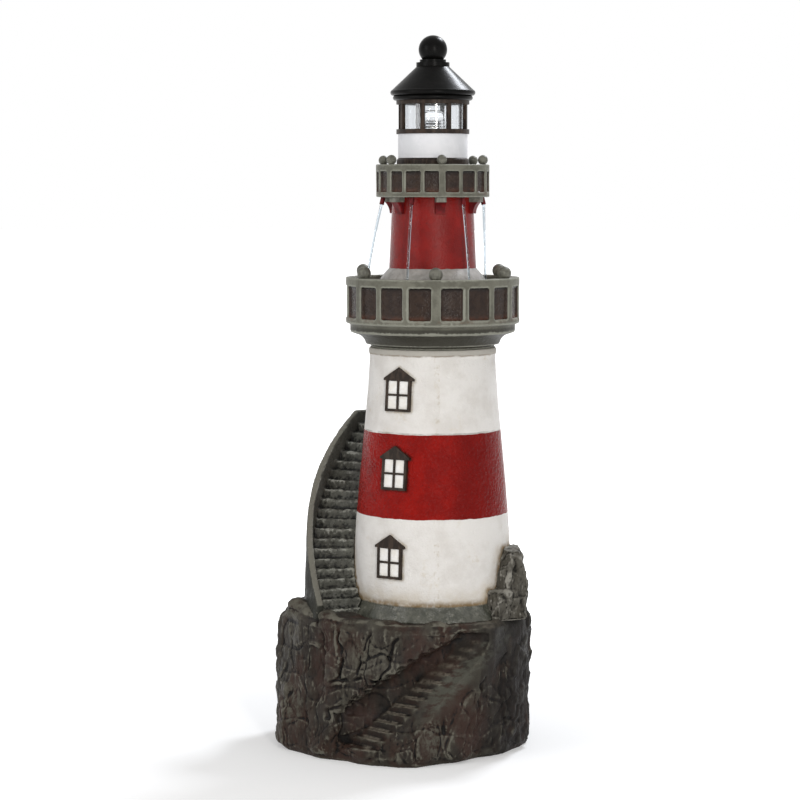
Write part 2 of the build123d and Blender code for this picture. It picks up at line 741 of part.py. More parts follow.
def parapet_ring(angle, top):
    """Section of the parapet, with a battered outer face."""
    inner = PARAPET_RADIUS - PARAPET_THICKNESS
    return [polar(angle, inner, DECK_Z), polar(angle, PARAPET_RADIUS + PARAPET_BATTER_WIDTH, DECK_Z),
            polar(angle, PARAPET_RADIUS, top), polar(angle, inner, top)]


def side_stair():
    """Stair that winds up the left of the tower to a landing, inside a solid parapet."""
    core = NECK_RADIUS - TOWER_WALL
    keyed = PARAPET_RADIUS - PARAPET_THICKNESS / 2
    head_angle = STAIR_FOOT_ANGLE - STAIR_TURN
    landing_end = head_angle - LANDING_TURN
    landing_z = DECK_Z + STAIR_FIRST_RISE + STAIR_RISE
    wall_top = parapet_top(1)
    rings = []
    for step in range(STAIR_STEPS + 1):
        rings.append(parapet_ring(STAIR_FOOT_ANGLE - step * STEP_TURN, parapet_top(step / STAIR_STEPS)))
    for turn in range(LANDING_FACETS):
        rings.append(parapet_ring(head_angle - LANDING_TURN * (turn + 1) / LANDING_FACETS, wall_top))
    stair = faceted(rings)
    for step in range(STAIR_STEPS):
        angle = STAIR_FOOT_ANGLE - step * STEP_TURN
        top = DECK_Z + STAIR_FIRST_RISE + STAIR_RISE * step / STAIR_STEPS
        stair += sector(angle, angle - STEP_TURN, core, keyed, DECK_Z, top)
    for turn in range(LANDING_FACETS):
        first = head_angle - LANDING_TURN * turn / LANDING_FACETS
        stair += sector(first, first - LANDING_TURN / LANDING_FACETS, core, keyed, DECK_Z, landing_z)
    stair += sector(landing_end, landing_end - END_WALL_TURN, core, PARAPET_RADIUS, DECK_Z, wall_top)
    return stair - BEDDED_TOWER


def stone(x, y, half_width, half_depth, rise, taper, turn, lean):
    """Rough block with a waist that bulges a little and a smaller, leaning top."""
    rings = []
    for share, drawn_in, twist in STONE_LEVELS:
        wide = half_width - taper * drawn_in
        deep = half_depth - taper * drawn_in
        place = Pos(x + lean * share, y, DECK_Z + rise * share) * Rot(0, 0, turn + twist)
        rings.append([tuple((place * Pos(a * wide, b * deep, 0)).position) for a, b in STONE_CORNERS])
    return faceted(rings)


def boulder():
    """Pile of rough stones that leans on the right of the tower."""
    front = stone(FRONT_STONE_X, FRONT_STONE_Y, FRONT_STONE_WIDTH, FRONT_STONE_DEPTH, FRONT_STONE_HEIGHT,
                  FRONT_STONE_TAPER_WIDTH, FRONT_STONE_TURN, 0)
    tall = stone(TALL_STONE_X, TALL_STONE_Y, TALL_STONE_WIDTH, TALL_STONE_DEPTH, TALL_STONE_HEIGHT,
                 TALL_STONE_TAPER_WIDTH, TALL_STONE_TURN, STONE_LEAN)
    rear = stone(REAR_STONE_X, REAR_STONE_Y, REAR_STONE_WIDTH, REAR_STONE_DEPTH, REAR_STONE_HEIGHT,
                 REAR_STONE_TAPER_WIDTH, REAR_STONE_TURN, 0)
    return front + tall + rear - BEDDED_TOWER


def wall_plane(angle, z):
    """Plane on the tower wall: x to the right seen from outside, y up the wall, z outwards."""
    slope = (tower_radius(z + SLOPE_SPAN) - tower_radius(z - SLOPE_SPAN)) / (2 * SLOPE_SPAN)
    out = polar(angle, 1)
    turn = math.radians(angle)
    return Plane(polar(angle, tower_radius(z), z), x_dir=(math.cos(turn), math.sin(turn), 0),
                 z_dir=(out[0], out[1], -slope))


def relief(plane, sketch, height):
    """Raised outline on the tower wall, cut to the wall behind it."""
    return plane * (Pos(0, 0, -RELIEF_ROOT) * extrude(sketch, height + RELIEF_ROOT)) - BEDDED_TOWER


def gabled(width, height, foot, overhang, gable):
    """Outline of a frame with a small gabled roof over it."""
    eave = width / 2 + overhang
    top = foot + height
    roof = Polyline((-eave, top - WINDOW_EAVE_DROP), (eave, top - WINDOW_EAVE_DROP), (eave, top),
                    (0, top + gable), (-eave, top), close=True)
    body = Pos(0, foot + height / 2) * Rectangle(width, height)
    return body + make_face(roof)


def window_plane(window):
    """Plane of one window, at the middle of its panes."""
    return wall_plane(*WINDOWS[window])


def window_pane(window):
    """White back plate of one window."""
    plate = Rectangle(WINDOW_WIDTH - WINDOW_BORDER, WINDOW_HEIGHT - WINDOW_BORDER)
    return relief(window_plane(window), plate, PANE_RELIEF)


def window_frame(window):
    """Gabled frame with a cross bar that parts the window into four panes."""
    wide = (WINDOW_WIDTH - 2 * WINDOW_BORDER - WINDOW_BAR) / 2
    tall = (WINDOW_HEIGHT - 2 * WINDOW_BORDER - WINDOW_BAR) / 2
    outline = gabled(WINDOW_WIDTH, WINDOW_HEIGHT, -WINDOW_HEIGHT / 2, WINDOW_EAVE, WINDOW_GABLE)
    for column in (-1, 1):
        for row in (-1, 1):
            shift = Pos(column * (wide + WINDOW_BAR) / 2, row * (tall + WINDOW_BAR) / 2)
            outline -= shift * Rectangle(wide, tall)
    return relief(window_plane(window), outline, WINDOW_RELIEF) - window_pane(window)


def door_plane():
    """Plane of the door, at its sill in the middle of the landing."""
    angle = STAIR_FOOT_ANGLE - STAIR_TURN - LANDING_TURN / 2
    return wall_plane(angle, DECK_Z + STAIR_FIRST_RISE + STAIR_RISE + DOOR_SILL)


def door_leaf():
    """Plain door between the posts of its frame."""
    leaf = Pos(0, DOOR_HEIGHT / 2) * Rectangle(DOOR_WIDTH - WINDOW_BORDER, DOOR_HEIGHT - WINDOW_BORDER)
    return relief(door_plane(), leaf, PANE_RELIEF)


def door_frame():
    """Gabled door frame on the landing."""
    opening = Pos(0, DOOR_HEIGHT / 2) * Rectangle(DOOR_WIDTH - 2 * WINDOW_BORDER, DOOR_HEIGHT - 2 * WINDOW_BORDER)
    outline = gabled(DOOR_WIDTH, DOOR_HEIGHT, 0, DOOR_EAVE, DOOR_GABLE) - opening
    return relief(door_plane(), outline, WINDOW_RELIEF) - door_leaf()


def panel_recesses(radius, depth, low, high, first_post, post, ball_post):
    """Sunk panels between the posts round a gallery wall."""
    pitch = 360 / GALLERY_POSTS
    recess = make_face(Polyline((radius - depth, 0, low), (radius + depth, 0, low),
                                (radius + depth, 0, high), (radius - depth, 0, high), close=True))
    cuts = []
    for index in range(GALLERY_POSTS):
        before = ball_post if index % BALL_EVERY == 0 else post
        after = ball_post if (index + 1) % BALL_EVERY == 0 else post
        start = first_post + index * pitch + math.degrees(before / 2 / radius)
        end = first_post + (index + 1) * pitch - math.degrees(after / 2 / radius)
        cuts.append(Rot(0, 0, start - 90) * revolve(recess, Axis.Z, end - start))
    return cuts


def rail_balls(radius, circle, rail_z, lift, first_post):
    """Ball finials on every third post, each with a flat seat on the rail."""
    balls = []
    for ball in range(GALLERY_POSTS // BALL_EVERY):
        angle = first_post + ball * 360 * BALL_EVERY / GALLERY_POSTS
        body = Sphere(radius) - Pos(0, 0, -lift) * Box(
            3 * radius, 3 * radius, 2 * radius, align=(Align.CENTER, Align.CENTER, Align.MAX))
        balls.append(Pos(*polar(angle, circle, rail_z + lift)) * body)
    return Compound(children=balls)


def lower_gallery():
    """Basin casting: spigot, cornice, panelled wall and a floor with drain holes."""
    seam_z = CROWN_Z + SEAM_HEIGHT
    cavetto_z = seam_z + CAVETTO_HEIGHT
    cornice_z = cavetto_z + FILLET_HEIGHT
    rail_z = LOWER_Z + LOWER_HEIGHT
    spigot = COLLAR_BORE - LIFT_GAP
    mouth = spigot - SPIGOT_WALL
    inner = LOWER_RADIUS - LOWER_WALL
    under = CORNICE_RADIUS - UNDERSIDE_WALL
    ceiling = BASIN_Z - BASIN_FLOOR_THICKNESS
    hub = PIPE_RADIUS + PIPE_GAP + SOCKET_WALL + PIPE_GAP
    hollow = (mix(CAVETTO_FOOT_RADIUS, CAVETTO_HEAD_RADIUS, CAVETTO_HOLLOW_OUT),
              mix(seam_z, cavetto_z, CAVETTO_HOLLOW_UP))
    basin = turned_edges(
        run((hub, ceiling), (under, ceiling), (under, cornice_z), (mouth, seam_z), (mouth, CROWN_Z - SPIGOT_DEPTH),
            (spigot, CROWN_Z - SPIGOT_DEPTH), (spigot, CROWN_Z), (SEAM_RADIUS, CROWN_Z), (SEAM_RADIUS, seam_z),
            (CAVETTO_FOOT_RADIUS, seam_z)),
        bow((CAVETTO_FOOT_RADIUS, seam_z), hollow, (CAVETTO_HEAD_RADIUS, cavetto_z)),
        run((CAVETTO_HEAD_RADIUS, cavetto_z), (CORNICE_RADIUS, cornice_z), (CORNICE_RADIUS, LOWER_Z),
            (LOWER_RADIUS, LOWER_Z), (LOWER_RADIUS, rail_z), (inner, rail_z), (inner, BASIN_Z), (hub, BASIN_Z),
            (hub, ceiling)),
    )
    basin -= panel_recesses(LOWER_RADIUS, LOWER_RECESS, LOWER_Z + LOWER_SILL, rail_z - LOWER_RAIL,
                            LOWER_FIRST_POST, LOWER_POST, LOWER_BALL_POST)
    for drain in range(DRAIN_COUNT):
        angle = LOWER_FIRST_POST + (drain + 0.5) * 360 / DRAIN_COUNT
        basin -= Pos(*polar(angle, DRAIN_CIRCLE_RADIUS, BASIN_Z)) * Cylinder(DRAIN_RADIUS, 3 * BASIN_FLOOR_THICKNESS)
    return basin


def lower_balls():
    """Six balls on the rail of the lower gallery."""
    return rail_balls(LOWER_BALL_RADIUS, LOWER_BALL_CIRCLE_RADIUS, LOWER_Z + LOWER_HEIGHT, LOWER_BALL_LIFT,
                      LOWER_FIRST_POST)


def upper_tower_edges(inset, low):
    """Flare and wall of the upper tower, set in from the outer face."""
    foot = (FLARE_FOOT_RADIUS - inset, low)
    middle = (FLARE_MID_RADIUS - inset, BASIN_Z + FLARE_MID_RISE)
    knee = (UPPER_FOOT_RADIUS - inset, BASIN_Z + FLARE_HEIGHT)
    head = (UPPER_HEAD_RADIUS - inset, UPPER_Z)
    return [run((0, low), foot), bow(foot, middle, knee), run(knee, head, (0, UPPER_Z), (0, low))]


UPPER_ENVELOPE = turned_edges(*upper_tower_edges(0, BASIN_Z))


def upper_tower():
    """Hollow red tower on a flared foot that stands in the basin."""
    return UPPER_ENVELOPE - turned_edges(*upper_tower_edges(UPPER_WALL, BASIN_Z))


def gallery_brackets():
    """Six corbels under the upper gallery: a square cap over a curved toe on the red wall."""
    cap_z = UPPER_Z - BRACKET_CAP
    toe_z = cap_z - BRACKET_DROP
    toe = UPPER_HEAD_RADIUS + BRACKET_TOE
    chin = BRACKET_REACH - BRACKET_STEP
    core = UPPER_HEAD_RADIUS - UPPER_WALL
    hollow = (mix(toe, chin, BRACKET_HOLLOW_OUT), mix(toe_z, cap_z, BRACKET_HOLLOW_UP))
    outline = [
        run((core, toe_z), (toe, toe_z)),
        bow((toe, toe_z), hollow, (chin, cap_z)),
        run((chin, cap_z), (BRACKET_REACH, cap_z), (BRACKET_REACH, UPPER_Z), (core, UPPER_Z), (core, toe_z)),
    ]
    body = extrude(make_face(outline), BRACKET_WIDTH / 2, dir=(0, 1, 0), both=True) - UPPER_ENVELOPE
    pitch = 360 / BRACKET_COUNT
    return Compound(children=[
        Rot(0, 0, UPPER_FIRST_POST + index * pitch - 90) * body for index in range(BRACKET_COUNT)])


def spout_plane(spout):
    """Plane at the top of one spout, with z down the tilted spout."""
    angle = SPOUT_FIRST_ANGLE + spout * 360 / SPOUT_COUNT
    tilt = math.radians(SPOUT_TILT)
    out = polar(angle, math.sin(tilt))
    side = polar(angle + 90, 1)
    return Plane(polar(angle, SPOUT_TOP_RADIUS, TROUGH_Z), x_dir=side, z_dir=(out[0], out[1], -math.cos(tilt)))


def spout_bar(spout, radius, start, length):
    """Round bar along one spout."""
    return spout_plane(spout) * (Pos(0, 0, start) * Cylinder(
        radius, length, align=(Align.CENTER, Align.CENTER, Align.MIN)))


def water_spouts():
    """Six short tubes through the trough floor, cut level with it."""
    length = TROUGH_FLOOR / math.cos(math.radians(SPOUT_TILT)) + SPOUT_DROP
    above = tube(UPPER_RADIUS, 0, TROUGH_Z, TROUGH_Z + UPPER_HEIGHT)
    spouts = []
    for spout in range(SPOUT_COUNT):
        body = spout_bar(spout, SPOUT_RADIUS, -SPOUT_RADIUS, length + SPOUT_RADIUS)
        body -= spout_bar(spout, SPOUT_BORE, -2 * SPOUT_RADIUS, length + 4 * SPOUT_RADIUS)
        spouts.append(body - above)
    return Compound(children=spouts)


def upper_gallery():
    """Trough casting: panelled wall, floor with spout holes and a register in the red tower."""
    rail_z = UPPER_Z + UPPER_HEIGHT
    inner = UPPER_RADIUS - UPPER_GALLERY_WALL
    register = UPPER_HEAD_RADIUS - UPPER_WALL - LIFT_GAP
    throat = PIPE_RADIUS + PIPE_GAP
    low = UPPER_Z - REGISTER_DEPTH
    trough = turned((throat, UPPER_Z), (register - REGISTER_WALL, UPPER_Z), (register - REGISTER_WALL, low),
                    (register, low), (register, UPPER_Z), (UPPER_RADIUS, UPPER_Z), (UPPER_RADIUS, rail_z),
                    (inner, rail_z), (inner, TROUGH_Z), (throat, TROUGH_Z))
    trough -= panel_recesses(UPPER_RADIUS, UPPER_RECESS, UPPER_Z + UPPER_SILL, rail_z - UPPER_RAIL,
                             UPPER_FIRST_POST, UPPER_POST, UPPER_BALL_POST)
    for spout in range(SPOUT_COUNT):
        trough -= spout_bar(spout, SPOUT_RADIUS + PIPE_GAP, -TROUGH_FLOOR, 3 * TROUGH_FLOOR)
    return trough


def upper_balls():
    """Six balls on the rail of the upper gallery."""
    return rail_balls(UPPER_BALL_RADIUS, UPPER_BALL_CIRCLE_RADIUS, UPPER_Z + UPPER_HEIGHT, UPPER_BALL_LIFT,
                      UPPER_FIRST_POST)


def riser_pipe():
    """Lower riser from the pump outlet up to the socket in the crown."""
    top = BASIN_Z - SOCKET_BELOW_FLOOR + SOCKET_DEPTH
    return tube(PIPE_RADIUS, PIPE_BORE, NIPPLE_SEAT_Z, top)


def riser_upper():
    """Upper riser with a socket that slips over the lower one and a flange on the basin floor."""
    socket_low = BASIN_Z - SOCKET_BELOW_FLOOR
    socket_bore = PIPE_RADIUS + PIPE_GAP
    socket = socket_bore + SOCKET_WALL
    flange_z = BASIN_Z + SOCKET_FLANGE_THICKNESS
    stop = socket_low + SOCKET_DEPTH
    return turned((socket_bore, socket_low), (socket, socket_low), (socket, BASIN_Z),
                  (SOCKET_FLANGE_RADIUS, BASIN_Z), (SOCKET_FLANGE_RADIUS, flange_z), (PIPE_RADIUS, flange_z),
                  (PIPE_RADIUS, TROUGH_Z + MANIFOLD_SOCKET), (PIPE_BORE, TROUGH_Z + MANIFOLD_SOCKET),
                  (PIPE_BORE, stop), (socket_bore, stop))


def outlet_bars(radius, start, end):
    """Bars along the outlets of the manifold."""
    bars = Part()
    for outlet in range(MANIFOLD_OUTLETS):
        angle = MANIFOLD_FIRST_ANGLE + outlet * 360 / MANIFOLD_OUTLETS
        plane = Plane(polar(angle, start, TROUGH_Z + OUTLET_RISE), x_dir=(0, 0, 1), z_dir=polar(angle, 1))
        bars += plane * Cylinder(radius, end - start, align=(Align.CENTER, Align.CENTER, Align.MIN))
    return bars


def feed_manifold():
    """Cap on the riser with three outlets through the foot ring into the trough."""
    top = TROUGH_Z + MANIFOLD_HEIGHT
    roof = top - (MANIFOLD_RADIUS - PIPE_RADIUS)
    seat = TROUGH_Z + MANIFOLD_SOCKET
    body = tube(MANIFOLD_RADIUS, 0, TROUGH_Z, top) + outlet_bars(OUTLET_RADIUS, 0, FOOT_RING_RADIUS)
    body -= tube(PIPE_RADIUS + PIPE_GAP, 0, TROUGH_Z, seat)
    body -= tube(PIPE_BORE, 0, TROUGH_Z, roof)
    return body - outlet_bars(OUTLET_BORE, 0, FOOT_RING_RADIUS + OUTLET_RADIUS)


def drum_foot_ring():
    """Dark collar that carries the drum over the water, with a rounded top edge."""
    inner = FOOT_RING_RADIUS - FOOT_RING_WALL
    shoulder = DRUM_Z - FOOT_RING_ROUND
    edge = FOOT_RING_RADIUS - FOOT_RING_ROUND
    bulge = FOOT_RING_ROUND * math.sqrt(0.5)
    ring = turned_edges(
        run((edge, DRUM_Z), (inner, DRUM_Z), (inner, TROUGH_Z), (FOOT_RING_RADIUS, TROUGH_Z),
            (FOOT_RING_RADIUS, shoulder)),
        bow((FOOT_RING_RADIUS, shoulder), (edge + bulge, shoulder + bulge), (edge, DRUM_Z)),
    )
    return ring - outlet_bars(OUTLET_RADIUS + BOLT_GAP, inner - FOOT_RING_WALL, FOOT_RING_RADIUS + FOOT_RING_WALL)


def lantern_drum():
    """White drum with a spigot in the foot ring and a ledge for the lamp."""
    inner = DRUM_RADIUS - DRUM_WALL
    spigot = FOOT_RING_RADIUS - FOOT_RING_WALL - LIFT_GAP
    ledge_z = LANTERN_Z - LAMP_LEDGE
    throat = inner - LAMP_LEDGE_WIDTH
    low = DRUM_Z - DRUM_SPIGOT
    return turned((throat, low), (spigot, low), (spigot, DRUM_Z), (DRUM_RADIUS, DRUM_Z), (DRUM_RADIUS, LANTERN_Z),
                  (inner, LANTERN_Z), (inner, ledge_z), (throat, ledge_z))


def lantern_frame():
    """Bronze frame of the lantern room: sill, eight posts and head."""
    inner = LANTERN_RADIUS - LANTERN_WALL
    head_z = ROOF_Z - LANTERN_HEAD
    sill_z = LANTERN_Z + LANTERN_SILL
    frame = tube(LANTERN_RADIUS, inner, LANTERN_Z, sill_z) + tube(LANTERN_RADIUS, inner, head_z, ROOF_Z)
    ring = tube(LANTERN_RADIUS - LANTERN_POST_SETBACK, inner, sill_z, head_z)
    for post in range(LANTERN_POSTS):
        bar = block(-LANTERN_POST_WIDTH / 2, LANTERN_POST_WIDTH / 2, -LANTERN_RADIUS, 0, sill_z, head_z)
        frame += ring & (Rot(0, 0, LANTERN_FIRST_POST + post * 360 / LANTERN_POSTS) * bar)
    return frame


def lantern_glazing():
    """Clear tube inside the lantern frame."""
    return tube(GLAZING_RADIUS, GLAZING_RADIUS - GLAZING_THICKNESS, LANTERN_Z, ROOF_Z - GLAZING_SHORT)


def lamp_base():
    """White disc on the ledge in the drum."""
    low = LANTERN_Z - LAMP_LEDGE
    return tube(DRUM_RADIUS - DRUM_WALL - LIFT_GAP, 0, low, low + LAMP_BASE_THICKNESS)


def led_board():
    """Round circuit board with one raised light source."""
    top = LAMP_Z + LED_BOARD_THICKNESS
    return tube(LED_BOARD_RADIUS, 0, LAMP_Z, top) + tube(LED_CHIP_RADIUS, 0, top, top + LED_CHIP_HEIGHT)


def lamp_lens():
    """Clear ribbed lens over the light source, with a domed top."""
    inner = LAMP_LENS_RADIUS - LAMP_LENS_WALL
    top = LAMP_Z + LAMP_LENS_HEIGHT
    shoulder = top - LAMP_LENS_DOME
    hollow_top = shoulder - LAMP_LENS_WALL
    flat = LAMP_LENS_RADIUS - LAMP_LENS_DOME
    bulge = LAMP_LENS_DOME * math.sqrt(0.5)
    lens = turned_edges(
        run((flat, top), (0, top), (0, hollow_top), (inner, hollow_top), (inner, LAMP_Z),
            (LAMP_LENS_RADIUS, LAMP_Z), (LAMP_LENS_RADIUS, shoulder)),
        bow((LAMP_LENS_RADIUS, shoulder), (flat + bulge, shoulder + bulge), (flat, top)),
    )
    pitch = (shoulder - LAMP_Z) / (LAMP_LENS_GROOVES + 1)
    for groove in range(LAMP_LENS_GROOVES):
        z = LAMP_Z + (groove + 1) * pitch
        deep = LAMP_LENS_RADIUS - LAMP_LENS_GROOVE_DEPTH
        lens -= turned((deep, z), (LAMP_LENS_RADIUS, z - LAMP_LENS_GROOVE_DEPTH),
                       (LAMP_LENS_RADIUS, z + LAMP_LENS_GROOVE_DEPTH))
    return lens


def roof_cone():
    """Black roof with two beads at the eave, a collar at the head and a lip inside the glazing."""
    lip = GLAZING_RADIUS - GLAZING_THICKNESS - LIFT_GAP
    hollow = lip - ROOF_LIP_WALL
    low = ROOF_Z - ROOF_LIP_DEPTH
    eave_z = ROOF_Z + LOWER_BEAD_HEIGHT
    bead = LOWER_BEAD_RADIUS - BEAD_CROWN
    eave = EAVE_RADIUS - BEAD_CROWN
    collar_z = CONE_Z + CONE_HEIGHT
    neck_low = collar_z + ROOF_COLLAR_HEIGHT
    ceiling = NECK_Z - ROOF_CEILING - ROOF_NECK_HEIGHT
    hole = SCREW_RADIUS + SHAFT_GAP
    shoulder = ROOF_Z + ROOF_HOLLOW_SHOULDER
    return turned_edges(
        run((hollow, low), (lip, low), (lip, ROOF_Z), (bead, ROOF_Z)),
        bow((bead, ROOF_Z), (LOWER_BEAD_RADIUS, ROOF_Z + LOWER_BEAD_HEIGHT / 2), (bead, eave_z)),
        run((bead, eave_z), (eave, eave_z)),
        bow((eave, eave_z), (EAVE_RADIUS, eave_z + EAVE_HEIGHT / 2), (eave, CONE_Z)),
        run((eave, CONE_Z), (CONE_HEAD_RADIUS, collar_z), (ROOF_COLLAR_RADIUS, collar_z),
            (ROOF_COLLAR_RADIUS, neck_low), (ROOF_NECK_RADIUS, neck_low), (ROOF_NECK_RADIUS, NECK_Z),
            (hole, NECK_Z), (hole, ceiling), (ROOF_HOLLOW_HEAD_RADIUS, ceiling), (hollow, shoulder),
            (hollow, low)),
    )


def finial_ball():
    """Black ball on the roof, with a flat seat and a screw hole."""
    ball = Pos(0, 0, NECK_Z + FINIAL_LIFT) * Sphere(FINIAL_RADIUS)
    ball -= tube(2 * FINIAL_RADIUS, 0, NECK_Z - 2 * FINIAL_RADIUS, NECK_Z)
    return ball - tube(SCREW_RADIUS + SHAFT_GAP, 0, NECK_Z - SCREW_BITE, NECK_Z + SCREW_BITE)


def finial_screw():
    """Screw from under the roof into the ball."""
    ceiling = NECK_Z - ROOF_CEILING - ROOF_NECK_HEIGHT
    head = tube(SCREW_HEAD_RADIUS, 0, ceiling - SCREW_HEAD_HEIGHT, ceiling)
    return head + tube(SCREW_RADIUS, 0, ceiling - SCREW_HEAD_HEIGHT, NECK_Z + SCREW_BITE)


def suction_cups():
    """Four rubber feet under the pump."""
    cups = []
    for x in (-1, 1):
        for y in (CUP_FOOT_RADIUS - PUMP_FRONT, PUMP_REAR - CUP_FOOT_RADIUS):
            cup = Cone(CUP_FOOT_RADIUS, CUP_NECK_RADIUS, CUP_HEIGHT, align=(Align.CENTER, Align.CENTER, Align.MIN))
            cups.append(Pos(x * (PUMP_WIDTH / 2 - CUP_FOOT_RADIUS), y, RESERVOIR_FLOOR) * cup)
    return Compound(children=cups)


def pump_housing():
    """Sealed motor block with the rotor well, the impeller chamber and the outlet port."""
    half = PUMP_WIDTH / 2
    body = block(-half, half, -PUMP_FRONT, PUMP_REAR, PUMP_Z, PUMP_Z + PUMP_HEIGHT)
    well_end = -CHAMBER_FRONT - ROTOR_WELL_LENGTH
    body -= along_y(CHAMBER_RADIUS, -CHAMBER_FRONT, PUMP_REAR)
    body -= along_y(ROTOR_WELL_RADIUS, well_end, 0)
    body -= along_y(SHAFT_RADIUS + SHAFT_GAP, well_end - SHAFT_BITE, 0)
    top = PUMP_Z + PUMP_HEIGHT
    body -= tube(NIPPLE_BORE, 0, PUMP_AXIS_Z, top)
    return body - tube(NIPPLE_PORT_RADIUS + PIPE_GAP, 0, top - NIPPLE_PORT_DEPTH, top)


def outlet_nipple():
    """Nipple screwed into the outlet port, which the riser slips over."""
    top = PUMP_Z + PUMP_HEIGHT
    low = top - NIPPLE_PORT_DEPTH
    stem = PIPE_BORE - PIPE_GAP
    return turned((NIPPLE_BORE, low), (NIPPLE_PORT_RADIUS, low), (NIPPLE_PORT_RADIUS, top),
                  (NIPPLE_FLANGE_RADIUS, top), (NIPPLE_FLANGE_RADIUS, NIPPLE_SEAT_Z), (stem, NIPPLE_SEAT_Z),
                  (stem, NIPPLE_SEAT_Z + NIPPLE_LENGTH), (NIPPLE_BORE, NIPPLE_SEAT_Z + NIPPLE_LENGTH))


def rotor_shaft():
    """Ceramic pin between the bottom of the rotor well and the cover."""
    start = -CHAMBER_FRONT - ROTOR_WELL_LENGTH - SHAFT_BITE
    return along_y(SHAFT_RADIUS, start, PUMP_REAR + COVER_THICKNESS)


def impeller():
    """Magnet rotor with a disc of straight vanes, free on the pin."""
    magnet = ROTOR_WELL_RADIUS - ROTOR_GAP
    start = ROTOR_GAP - CHAMBER_FRONT - ROTOR_WELL_LENGTH
    disc = ROTOR_GAP - CHAMBER_FRONT
    vane_end = disc + IMPELLER_DISC + VANE_HEIGHT
    wheel = CHAMBER_RADIUS - 2 * ROTOR_GAP
    body = along_y(magnet, start, disc) + along_y(wheel, disc, disc + IMPELLER_DISC)
    body += along_y(IMPELLER_HUB_RADIUS, disc, vane_end)
    for vane in range(IMPELLER_VANES):
        bar = block(0, wheel, disc, vane_end, -VANE_THICKNESS / 2, VANE_THICKNESS / 2)
        body += Pos(0, 0, PUMP_AXIS_Z) * Rot(0, 360 * vane / IMPELLER_VANES, 0) * bar
    return body - along_y(SHAFT_RADIUS + SHAFT_GAP, start, vane_end)


def pump_cover():
    """Plate over the chamber with an intake and a spider that holds the pin."""
    half = PUMP_WIDTH / 2
    end = PUMP_REAR + COVER_THICKNESS
    plate = block(-half, half, PUMP_REAR, end, PUMP_Z, PUMP_Z + PUMP_HEIGHT)
    plate -= along_y(INTAKE_RADIUS, PUMP_REAR, end)
    plate += along_y(SPIDER_RADIUS, PUMP_REAR, end)
    reach = INTAKE_RADIUS + SPIDER_LAP
    plate += block(-reach, reach, PUMP_REAR, end, PUMP_AXIS_Z - SPIDER_ARM / 2, PUMP_AXIS_Z + SPIDER_ARM / 2)
    return plate - along_y(SHAFT_RADIUS + SHAFT_GAP, PUMP_REAR, end)


def pump_strainer():
    """Slotted cage over the intake, open towards the pump."""
    half = PUMP_WIDTH / 2
    wall = STRAINER_WALL
    low = PUMP_Z
    high = PUMP_Z + PUMP_HEIGHT
    cage = block(-half, half, STRAINER_Y, STRAINER_END_Y, low, high)
    cage -= block(wall - half, half - wall, STRAINER_Y, STRAINER_END_Y - wall, low + wall, high - wall)
    pitch = (PUMP_WIDTH - 2 * wall) / STRAINER_SLOTS
    free = DIAL_OFFSET_X - DIAL_RADIUS
    for slot in range(STRAINER_SLOTS):
        x = wall - half + (slot + 0.5) * pitch
        if x + STRAINER_SLOT_WIDTH < free:
            cage -= block(x - STRAINER_SLOT_WIDTH / 2, x + STRAINER_SLOT_WIDTH / 2, STRAINER_END_Y - 2 * wall, FAR,
                          PUMP_AXIS_Z - STRAINER_SLOT_HEIGHT / 2, PUMP_AXIS_Z + STRAINER_SLOT_HEIGHT / 2)
    return cage - along_y(DIAL_STEM_RADIUS + SHAFT_GAP, STRAINER_Y, STRAINER_END_Y, DIAL_OFFSET_X)


def flow_dial():
    """Knob on the strainer with a stem and a gate disc behind the wall."""
    inside = STRAINER_END_Y - STRAINER_WALL - SHAFT_GAP
    outside = STRAINER_END_Y + SHAFT_GAP
    end = outside + DIAL_THICKNESS
    dial = along_y(DIAL_STEM_RADIUS, inside, outside, DIAL_OFFSET_X)
    dial += along_y(DIAL_GATE_RADIUS, inside - DIAL_GATE_THICKNESS, inside, DIAL_OFFSET_X)
    dial += along_y(DIAL_RADIUS, outside, end, DIAL_OFFSET_X)
    half = DIAL_GRIP / 2
    dial += block(DIAL_OFFSET_X - half, DIAL_OFFSET_X + half, end, end + DIAL_GRIP,
                  PUMP_AXIS_Z - DIAL_RADIUS + DIAL_POINTER, PUMP_AXIS_Z + DIAL_RADIUS - DIAL_POINTER)
    return dial


PIECES = {
    "rock_base": rock_base(),
    "access_panel": access_panel(),
    "panel_gasket": panel_gasket(),
    "cord_gland": cord_gland(),
    "tower_shell": tower_shell(),
    "tower_bolts": tower_bolts(),
    "side_stair": side_stair(),
    "boulder": boulder(),
    "window_frame_upper": window_frame(0),
    "window_frame_middle": window_frame(1),
    "window_frame_lower": window_frame(2),
    "window_panes": Compound(children=[window_pane(window) for window in range(len(WINDOWS))]),
    "door_frame": door_frame(),
    "door_leaf": door_leaf(),
    "suction_cups": suction_cups(),
    "pump_housing": pump_housing(),
    "outlet_nipple": outlet_nipple(),
    "rotor_shaft": rotor_shaft(),
    "impeller": impeller(),
    "pump_cover": pump_cover(),
    "pump_strainer": pump_strainer(),
    "flow_dial": flow_dial(),
    "riser_pipe": riser_pipe(),
    "lower_gallery": lower_gallery(),
    "lower_balls": lower_balls(),
    "upper_tower": upper_tower(),
    "gallery_brackets": gallery_brackets(),
    "upper_gallery": upper_gallery(),
    "upper_balls": upper_balls(),
    "water_spouts": water_spouts(),
    "riser_upper": riser_upper(),
    "feed_manifold": feed_manifold(),
    "drum_foot_ring": drum_foot_ring(),
    "lantern_drum": lantern_drum(),
    "lantern_frame": lantern_frame(),
    "lantern_glazing": lantern_glazing(),
    "lamp_base": lamp_base(),
    "led_board": led_board(),
    "lamp_lens": lamp_lens(),
    "roof_cone": roof_cone(),
    "finial_ball": finial_ball(),
    "finial_screw": finial_screw(),
}

